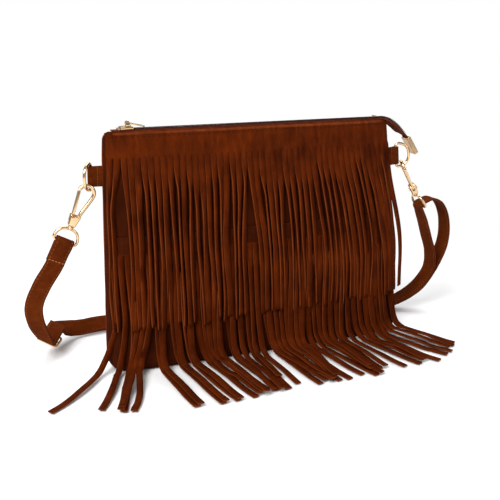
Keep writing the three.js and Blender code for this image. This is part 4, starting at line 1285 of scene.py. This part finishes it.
def makeStrap():
    s = strapCut
    frames = ribbonFrames(strapRoute(), s["step"], s["bend"])
    bm = bmesh.new()

    def place(u, v):
        at = pick(frames, v)
        across = 2 * u - 1
        wave = ripple(at["s"] * 25, across * 2, 3.5)
        ragged = 0.12 * mm * ripple(at["s"] * 140, across * 9, 7.5)
        return at["at"] + at["wide"] * (across * s["width"] / 2 + ragged) + at["out"] * 0.1 * mm * wave

    addGrid(bm, 6, len(frames) - 1, place)
    piece = finishPiece(bm, "long_strap", "bag", ["strap", "strapEdge"], 60)
    thicken(piece, s["thick"] - s["spare"], 0.0, rim=1)
    soften(piece, 0.45 * mm, 60)
    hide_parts("strap")
    length = frames[-1]["s"]
    math.floor(length * 1000) / 1000
    print("strap length", length)

    bm = bmesh.new()
    gone = s["margin"]
    for at, after in zip(frames, frames[1:]):
        while gone < after["s"] and gone < length - s["margin"]:
            share = (gone - at["s"]) / max(1e-6, after["s"] - at["s"])
            middle = at["at"].lerp(after["at"], share)
            wide = at["wide"].lerp(after["wide"], share).normalized()
            along = at["along"].lerp(after["along"], share).normalized()
            aside, deep = s["width"] / 2 - s["edge"], s["thick"] / 2 - 0.02 * mm
            for side, face in ((-1, -1), (-1, 1), (1, -1), (1, 1)):
                out = wide.cross(along) * face
                addStitch(bm, middle + wide * side * aside + out * deep, along, out, 2.2 * mm, 0.44 * mm)
            gone += s["stitch"]
    finishPiece(bm, "strap_stitches", "bag", ["strapThread"])

    # the line of stitches that closes the loop round the left ring
    bm = bmesh.new()
    down = leftBar["down"]
    near = [at for at in frames if s["closingFrom"] < at["s"] < s["closingTo"]]
    at = min(near, key=lambda f: abs((f["at"] - leftBar["at"]).dot(down) - s["closing"]))
    for i in range(5):
        for face in (-1, 1):
            out = at["out"] * face
            point = at["at"] + at["wide"] * (i - 2) * 2.9 * mm + out * (s["thick"] / 2)
            addStitch(bm, point, at["wide"], out, 2.1 * mm, 0.6 * mm)
    finishPiece(bm, "strap_end_stitches", "bag", ["paleThread"])


def makeBuckle():
    b = buckle
    bm = bmesh.new()
    points = []
    for sx, sy, first in ((1, -1, -90), (1, 1, 0), (-1, 1, 90), (-1, -1, 180)):
        middle = Vector((sx * (b["halfWide"] - b["corner"]), sy * (b["halfLength"] - b["corner"]), 0))
        for i in range(4):
            angle = math.radians(first + 30 * i)
            points.append(middle + Vector((math.cos(angle), math.sin(angle), 0)) * b["corner"])
    turn = axesAt(b["at"], b["wide"], b["along"], b["up"])
    addWire(bm, points, b["wire"], turn, closed=True, sides=5)
    addRod(bm, *b["bar"], matrix=turn)
    piece = finishPiece(bm, "slide_buckle", "bag", ["gold"], 60)
    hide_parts("strap_buckle")


# nodes that keep their CAD shape, with their finishes
kept = {
    "zip_stop_front": "gold", "zip_stop_back": "gold", "zip_end_stop": "gold",
    "gate_spring_left": "steel", "gate_spring_right": "steel",
}


def dressNodes():
    for name, finish in kept.items():
        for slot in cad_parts[name].material_slots:
            slot.material = finishes[finish]


print("zip")
makeTapes()
makeCoils()
makeSlider()
makePull()
makeCap()
print("side hardware")
makeSide("left", -1, 55)
makeSide("right", 1, 15)
for name, placing in hookPlaces.items():
    makeHook(name, placing)
print("strap")
makeStrap()
makeBuckle()
dressNodes()


studio = {
    "floor": srgb(249, 249, 249), "grain": srgb(244, 244, 244), "size": 6, "ambient": 0.34,
    # distances from the middle where the floor begins to run into white and where it is white
    "fade": (0.25, 0.55),
    # place, aim, size, watts
    "lights": (
        ((-0.95, -0.85, 1.25), (0, 0, 0.08), 0.9, 34),
        ((1.3, -0.9, 0.9), (0, 0, 0.1), 0.8, 7),
        ((0.1, 0.9, 1.6), (0, 0, 0.1), 1.4, 18),
    ),
}


def makeStudio(s):
    bm = bmesh.new()
    bmesh.ops.create_grid(bm, x_segments=8, y_segments=8, size=s["size"])
    mesh = bpy.data.meshes.new("floor")
    bm.to_mesh(mesh)
    bm.free()
    g = Graph("floor")
    grain = g.noise(300, detail=2)
    g.set(colour=g.blend(grain * 0.2, s["floor"], s["grain"]), roughness=0.85, specular=0.05)
    # past the shadows the floor runs into plain white, as a studio sweep does
    away = g.add("ShaderNodeVectorMath", {"operation": "LENGTH"}, {0: g.place()}, output=1)
    seen = g.add("ShaderNodeLightPath", {}, {})
    glow = g.add("ShaderNodeEmission", {}, {"Color": (1, 1, 1, 1), "Strength": 1.0})
    blend = {0: g.spread(away, *s["fade"]) * seen, 1: Sock(g, g.shader.outputs[0]), 2: glow}
    g.link(g.add("ShaderNodeMixShader", {}, blend), g.tree.nodes["Material Output"].inputs["Surface"])
    mesh.materials.append(g.material)
    floor = addObject("floor", mesh)

    world = bpy.data.worlds.new("world")
    world.use_nodes = True
    nodes, links = world.node_tree.nodes, world.node_tree.links
    path, level = nodes.new("ShaderNodeLightPath"), nodes.new("ShaderNodeMapRange")
    level.inputs["To Min"].default_value = s["ambient"]
    level.inputs["To Max"].default_value = 1.0
    links.new(path.outputs["Is Camera Ray"], level.inputs["Value"])
    nodes["Background"].inputs["Color"].default_value = (1, 1, 1, 1)
    links.new(level.outputs["Result"], nodes["Background"].inputs["Strength"])
    bpy.context.scene.world = world
    for i, (at, aim, size, power) in enumerate(s["lights"]):
        data = bpy.data.lights.new(f"softbox{i}", "AREA")
        data.shape = "SQUARE"
        data.size = size
        data.energy = power
        lamp = addObject(f"softbox{i}", data)
        turn = (Vector(aim) - Vector(at)).to_track_quat("-Z", "Y").to_matrix().to_4x4()
        lamp.matrix_world = Matrix.Translation(at) @ turn


makeStudio(studio)
bpy.context.scene.view_settings.view_transform = "Standard"
